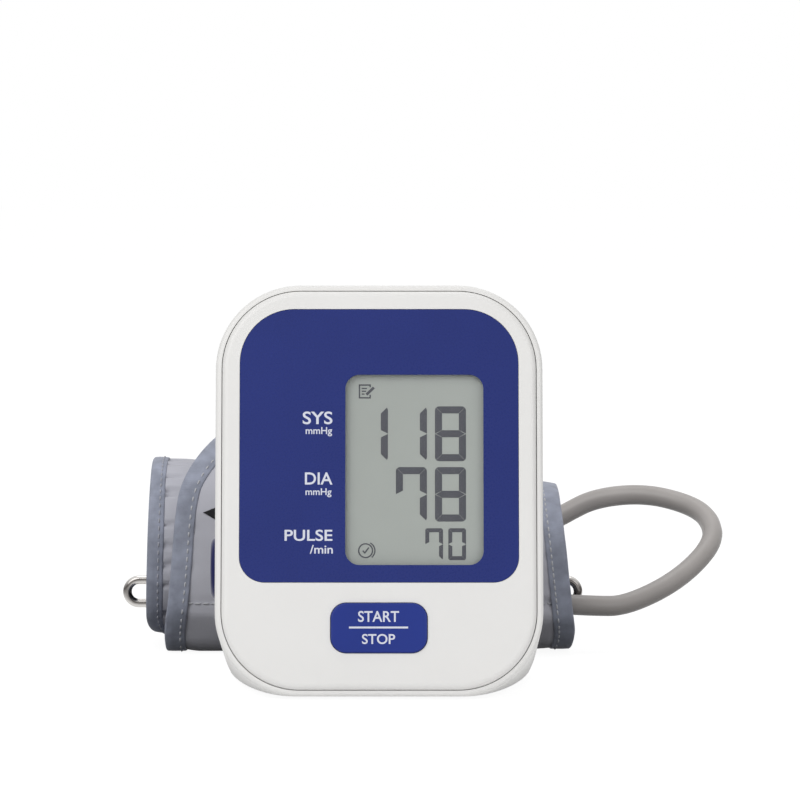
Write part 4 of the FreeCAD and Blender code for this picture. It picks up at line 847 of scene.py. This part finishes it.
def wrap_face(x, y, z):
    """How far the wrap's outer face stands out of its plain line, in mm."""
    left, right = wrap_edge(0, z, WRAP_TAPE), wrap_edge(1, z, WRAP_TAPE)
    edge = min(x - left, right - x)
    near = math.exp(-max(edge, 0.0) / WRAP_SWELL_RUN)
    above = (wrap_level(x, z) - SEAM_RISE) / SEAM_WIDTH
    seam = math.exp(-above ** 2) if y < WRAP_FRONT + SEAM_REACH else 0.0
    pucker = near * rumple(0.0, y, z, *WRAP_PUCKER)
    crease = rumple(x * LONG_CREASE_SHARES[1], y, z, *WRAP_LONG_CREASE) + rumple(x, y, z, *WRAP_SHORT_CREASE)
    swell = WRAP_SWELL * (1.0 - near) + pucker + crease * (1.0 - near) - SEAM_GROOVE * seam
    return WRAP_THICK - WRAP_SINK + swell


def make_wrap():
    """Outer turn of the cuff: a thin padded cloth with a sewn seam along its foot."""
    outer, inner = [], []
    for sample in wrap_path(WRAP_STEP):
        y, z = sample[:2]
        level = z + sample[3] * WRAP_THICK
        sides = [wrap_edge(side, level, WRAP_TAPE - WRAP_CLOTH_TUCK) for side in (0, 1)]
        columns = even(*sides, WRAP_COLUMNS)
        over = [wrap_point(x, sample, wrap_face(x, y, z)) for x in columns]
        under = [wrap_point(x, sample, rumple(x, y, z, *WRAP_UNDERSIDE)) for x in columns]
        hems = [wrap_edge(side, level, WRAP_HEM_INSET) for side in (0, 1)]
        for row, cloth, out in ((inner, under, WRAP_HEM_FACES[0]), (outer, over, WRAP_HEM_FACES[1])):
            first, last = [wrap_point(x, sample, out) for x in hems]
            row.append([first] + cloth + [last])
    form = bmesh.new()
    shell(form, outer, inner, False)
    wrap = finish_mesh("cuff_wrap_cloth", form, "cuff_set", "cuff_fabric")
    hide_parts("cuff_wrap")
    return wrap


def make_wrap_tapes():
    """Edge tape along both sides of the wrap, with pale stitches near its inner edge."""
    form = bmesh.new()
    threads = bmesh.new()
    for side, way, seed in ((0, 1, 12), (1, -1, 14)):
        rings = []
        for sample in wrap_path(WRAP_STEP):
            y, z = sample[:2]
            level = z + sample[3] * WRAP_THICK
            edge = wrap_edge(side, level, 0.0) + rumple(0.0, y, z, *WRAP_TAPE_SHIFT, seed)
            width = abs(wrap_edge(side, level, WRAP_TAPE) - edge)
            high = WRAP_THICK + WRAP_TAPE_OVER + rumple(0.0, y, z, *WRAP_TAPE_LIFT, seed + 1)
            ring = tape_ring(edge, way, width, -WRAP_TAPE_UNDER, high, WRAP_TAPE_THICK)
            rings.append([wrap_point(x, sample, out) for x, out in ring])
        sweep(form, rings, False)
        line = []
        for sample in wrap_path(WRAP_SEW_PITCH):
            y, z, oy, oz = sample
            lift = WRAP_THICK + WRAP_SEW_LIFT + rumple(0.0, y, z, *WRAP_TAPE_LIFT, seed + 1)
            x = wrap_edge(side, z + oz * WRAP_THICK, WRAP_TAPE - WRAP_SEW_INSET)
            line.append((wrap_point(x, sample, lift), Vector((0.0, oy, oz))))
        spots = []
        for (before, _), (here, out), (after, _) in zip(line, line[1:], line[2:]):
            spots.append((here, (after - before).normalized(), out))
        stitch_row(threads, spots, *WRAP_STITCH)
    tape = finish_mesh("wrap_tape", form, "cuff_set", "binding_tape")
    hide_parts("wrap_binding")
    sewn = finish_mesh("wrap_stitches", threads, "cuff_set", "binding_tape", "thread_pale")
    return [tape, sewn]


def make_seam():
    """Row of stitches along the wrap's foot."""
    y = WRAP_FRONT
    left, right = [wrap_outline(side, SEAM_RISE, WRAP_TAPE + SEAM_INSET) for side in (0, 1)]
    spots = []
    for x in even(left, right, round((right - left) / SEAM_PITCH)):
        z = wrap_plain(x, SEAM_RISE)
        out = wrap_face(x, y, z) + SEAM_LIFT
        spots.append((wrap_place(x, y - out, z), Vector((1.0, 0.0, 0.0)), Vector((0.0, -1.0, 0.0))))
    form = bmesh.new()
    stitch_row(form, spots, *SEAM_STITCH)
    return finish_mesh("seam_stitches", form, "cuff_set", "cuff_fabric", "thread_pale")


def make_index_mark():
    """Plain triangle printed on the wrap, pointing to its left edge."""
    path = [sample for sample in wrap_path(MARK_STEP)
            if sample[0] < MARK_FRONT_REACH and sample[1] > MARK_FRONT_FOOT]
    rings = []
    for i, x in enumerate(even(MARK_TIP, MARK_BASE, MARK_COLUMNS)):
        tall = max(MARK_HALF * i / MARK_COLUMNS, MARK_LEAST)
        row = []
        for share in MARK_SHARES:
            z = MARK_RISE + tall * share
            sample = min(path, key=lambda s: abs(s[1] - z))
            row.append(wrap_point(x, sample, wrap_face(x, sample[0], z) + MARK_LIFT))
        rings.append(row + [point + Vector((0.0, MARK_THICK * MM, 0.0)) for point in reversed(row)])
    form = bmesh.new()
    sweep(form, rings, False)
    return finish_mesh("index_mark", form, "cuff_set", "cuff_fabric", "mark_black")


def make_hook_tape():
    """Hook tape under the wrap's free end: rows of small hooks on a thin strip."""
    low, high = [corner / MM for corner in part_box("hook_patch")]
    left, right, front, back = low.x, high.x, low.y, high.y
    top, base = WRAP_HIGH - HOOK_SHEET_TOP, WRAP_HIGH - HOOK_SHEET_BASE
    form = bmesh.new()
    corners = ((front, top), (back, top), (back, base), (front, base))
    columns = even(left, right, HOOK_SHEET_COLUMNS)
    sweep(form, [[wrap_place(x, y, z) for y, z in corners] for x in columns], False)
    wire = [(HOOK_WIRE * a, HOOK_WIRE * b) for a, b in ((1, 0), (0, 1), (-1, 0), (0, -1))]
    for i in range(HOOK_COLUMNS):
        for j in range(HOOK_ROWS):
            x = left + (right - left) * (i + 0.5) / HOOK_COLUMNS
            y = front + (back - front - HOOK_MARGIN) * (j + 0.5) / HOOK_ROWS
            sweep(form, [[wrap_place(x + a, y + along + b, base + down) for a, b in wire]
                         for along, down in HOOK_BEND], False)
    patch = finish_mesh("hook_tape", form, "cuff_set", "hook_tape")
    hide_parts("hook_patch")


def make_ring_sleeve():
    """Loop of cloth round the ring's upper bar, on a strap sewn to the lining."""
    low, high = [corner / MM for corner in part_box("ring_sleeve")]
    radius = (high.z - low.z) / 2
    y, z = high.y - radius, (low.z + high.z) / 2
    angles = even(-SLEEVE_OPEN, SLEEVE_OPEN, SLEEVE_TURNS)
    bore = [(math.cos(angle), math.sin(angle)) for angle in angles + [SLEEVE_CLOSE, math.tau - SLEEVE_CLOSE]]
    outside, inside = [], []
    for i, x in enumerate(even(low.x, high.x, SLEEVE_COLUMNS)):
        size = radius - SLEEVE_HEM * math.exp(-min(i, SLEEVE_COLUMNS - i) / SLEEVE_HEM_COLUMNS)
        ring = []
        for a, b in bore[:len(angles)]:
            n = size + rumple(x, a * SLEEVE_RUMPLE_RADIUS, b * SLEEVE_RUMPLE_RADIUS, *SLEEVE_RUMPLE)
            ring.append((y + n * a, z + n * b))
        sag = rumple(x, 0.0, 0.0, *STRAP_RUMPLE)
        ring += [(low.y - STRAP_REACH, z + half + sag) for half in (STRAP_HALF, -STRAP_HALF)]
        outside.append([Vector((x, *point)) * MM for point in ring])
        n = radius - SLEEVE_WALL
        inside.append([Vector((x, y + a * n, z + b * n)) * MM for a, b in bore])
    form = bmesh.new()
    sweep(form, outside + list(reversed(inside)), True)
    sleeve = finish_mesh("ring_loop", form, "cuff_set", "cuff_fabric")
    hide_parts("ring_sleeve")


# Face figures

def flat_piece(name, outlines, depth, thick, look, body, slot):
    """Thin raised figures: closed outlines (x, rise) in mm on the face."""
    form = bmesh.new()
    for outline in outlines:
        rings = [[face_point(x, rise, level) for x, rise in outline] for level in (depth - thick, depth)]
        sweep(form, rings, False)
    finish_mesh(name, form, body, slot, look, smooth=False)


def digit_bars(figure, left, low, wide, tall, bar):
    """Bars of one seven-bar figure, rounded at its outer corners, with mitred ends and fine gaps."""
    gap, tip = bar * BAR_GAP_SHARE, bar * BAR_TIP_SHARE
    radius = bar * BAR_ROUND_SHARE
    right, top, middle = left + wide, low + tall, low + tall / 2
    bend = [(radius * (1.0 - math.cos(turn)), radius * (1.0 - math.sin(turn))) for turn in BAR_TURNS]

    def upright(x, way, foot, head):
        ends = []
        for rise, up in ((foot, 1), (head, -1)):
            if rise == middle:
                end = [(x, rise + up * gap), (x + way * bar, rise + up * (bar / 2 + gap))]
            else:
                end = [(x + way * a, rise + up * (b + gap)) for a, b in bend]
                end.append((x + way * bar, rise + up * (bar + gap)))
            ends.append(end)
        return ends[0][::-1] + ends[1]

    def level(rise, up):
        end = [(gap + b, rise + up * a) for a, b in bend] + [(gap + bar, rise + up * bar)]
        return [(left + a, b) for a, b in reversed(end)] + [(right - a, b) for a, b in end]

    bars = {
        "a": level(top, -1),
        "b": upright(right, -1, middle, top),
        "c": upright(right, -1, low, middle),
        "d": level(low, 1),
        "e": upright(left, 1, low, middle),
        "f": upright(left, 1, middle, top),
        "g": [(left + tip + gap, middle), (left + bar + gap, middle + bar / 2),
              (right - bar - gap, middle + bar / 2), (right - tip - gap, middle),
              (right - bar - gap, middle - bar / 2), (left + bar + gap, middle - bar / 2)],
    }
    return [bars[key] for key in LIT_BARS[figure]]


def arc_strip(x, rise, radius, width, begin, end, count):
    """Short quads along a ring, as outlines."""
    strips = []
    for i in range(count):
        angles = [begin + (end - begin) * (i + k) / count for k in (0, 1)]
        inner = [(x + (radius - width) * math.cos(a), rise + (radius - width) * math.sin(a)) for a in angles]
        outer = [(x + radius * math.cos(a), rise + radius * math.sin(a)) for a in angles]
        strips.append([inner[0], outer[0], outer[1], inner[1]])
    return strips


def straight_strips(place, strokes):
    """Straight bars from a table of strokes about a place, as outlines."""
    strips = []
    for x0, rise0, x1, rise1, width in strokes:
        first = Vector(place) + Vector((x0, rise0))
        last = Vector(place) + Vector((x1, rise1))
        way = (last - first).normalized()
        side = Vector((-way.y, way.x)) * (width / 2)
        strips.append([tuple(corner) for corner in (first - side, last - side, last + side, first + side)])
    return strips


def cell_ring(across, rises, inset, corner, depth):
    """Rounded rectangle at a depth behind the face, set in from two spans in mm."""
    margin = inset + corner
    points = []
    for turn, (side, head) in enumerate(((1, 1), (0, 1), (0, 0), (1, 0))):
        x = across[side] + margin * (1 - 2 * side)
        rise = rises[head] + margin * (1 - 2 * head)
        for k in range(CORNER_STEPS + 1):
            angle = math.pi / 2 * (turn + k / CORNER_STEPS)
            points.append(face_point(x + corner * math.cos(angle), rise + corner * math.sin(angle), depth))
    return points


def make_display_cell():
    """Display's glass with its step and film, close behind the lens; gives its front's depth."""
    *glass, depths = face_span("display_glass")
    *lens, lens_depths = face_span("display_lens")
    front = lens_depths[1] + LENS_CLEARANCE
    form = bmesh.new()
    sweep(form, [cell_ring(*glass, 0.0, CELL_CORNER, depths[1]),
                 cell_ring(*glass, 0.0, CELL_CORNER, depths[0]),
                 cell_ring(*lens, LENS_MARGIN, WINDOW_CORNER, depths[0]),
                 cell_ring(*lens, LENS_MARGIN, WINDOW_CORNER, front + FILM_THICK),
                 cell_ring(*lens, FILM_MARGIN, FILM_CORNER, front + FILM_THICK),
                 cell_ring(*lens, FILM_MARGIN, FILM_CORNER, front)], False)
    cell = finish_mesh("display_cell", form, "monitor", "display", smooth=False)
    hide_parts("display_glass")
    return front


def make_display_figures(depth):
    """Figures and small marks just in front of the display's cell."""
    for name, figures, low, tall, wide, bar, gap, right in FIGURES:
        outlines = []
        for place, figure in enumerate(reversed(figures)):
            left = right - wide - place * (wide + gap)
            outlines += digit_bars(figure, left, low, wide, tall, bar)
        flat_piece(name, outlines, depth, FIGURE_THICK, "segment_dark", "monitor", "display")
    marks = straight_strips(PAGE_PLACE, PAGE_STROKES)
    for shift, *arc in TICK_ARCS:
        marks += arc_strip(TICK_PLACE[0] + shift, TICK_PLACE[1], *arc)
    marks += straight_strips(TICK_PLACE, TICK_STROKES)
    flat_piece("display_marks", marks, depth, FIGURE_THICK, "segment_dark", "monitor", "display")


def lettering(name, text, left, right, low, high, depth, body, slot):
    """Plain letters fitted to a box on the face."""
    data = bpy.data.curves.new(name, "FONT")
    data.body = text
    data.extrude = LETTER_EXTRUDE
    data.offset = LETTER_WEIGHT
    data.resolution_u = LETTER_STEPS
    holder = put(name + "_text", data)
    bpy.context.view_layer.update()
    mesh = bpy.data.meshes.new_from_object(holder.evaluated_get(bpy.context.evaluated_depsgraph_get()))
    bpy.data.objects.remove(holder)
    xs = [vertex.co.x for vertex in mesh.vertices]
    ys = [vertex.co.y for vertex in mesh.vertices]
    for vertex in mesh.vertices:
        x = left + (vertex.co.x - min(xs)) / (max(xs) - min(xs)) * (right - left)
        rise = low + (vertex.co.y - min(ys)) / (max(ys) - min(ys)) * (high - low)
        vertex.co = face_point(x, rise, depth - (PRINT_THICK if vertex.co.z > 0 else 0.0))
    form = bmesh.new()
    form.from_mesh(mesh)
    bpy.data.meshes.remove(mesh)
    bmesh.ops.remove_doubles(form, verts=form.verts, dist=SAME_PLACE)
    finish_mesh(name, form, body, slot, "print_white", smooth=False)


def make_face_print():
    """Names and units of the readings on the panel, and the button's words with their line."""
    depth = face_span("face_overlay")[2][0]
    for name, text, *box in FACE_PRINT:
        lettering(name, text, *box, depth, "monitor", "panel_blue")
    depth = face_span("start_button")[2][0]
    for name, text, *box in BUTTON_PRINT:
        lettering(name, text, *box, depth, "start_button", "button_blue")
    flat_piece("button_line", [BUTTON_LINE], depth, PRINT_THICK, "print_white", "start_button",
               "button_blue")


# The scene

scene.view_settings.view_transform = "Standard"
make_camera()
make_tube()
make_lights()
make_world()
make_floor()
for part in frame["record"]["subparts"]:
    held = NODES[part["node"]].data.materials
    held.clear()
    held.append(LOOKS[part["material_slot"]])
make_roll()
make_roll_tapes()
cloth = make_wrap()
trim = make_wrap_tapes() + [make_seam(), make_index_mark()]
make_hook_tape()
make_ring_sleeve()
make_display_figures(make_display_cell() - FIGURE_LIFT)
make_face_print()
bpy.context.view_layer.update()
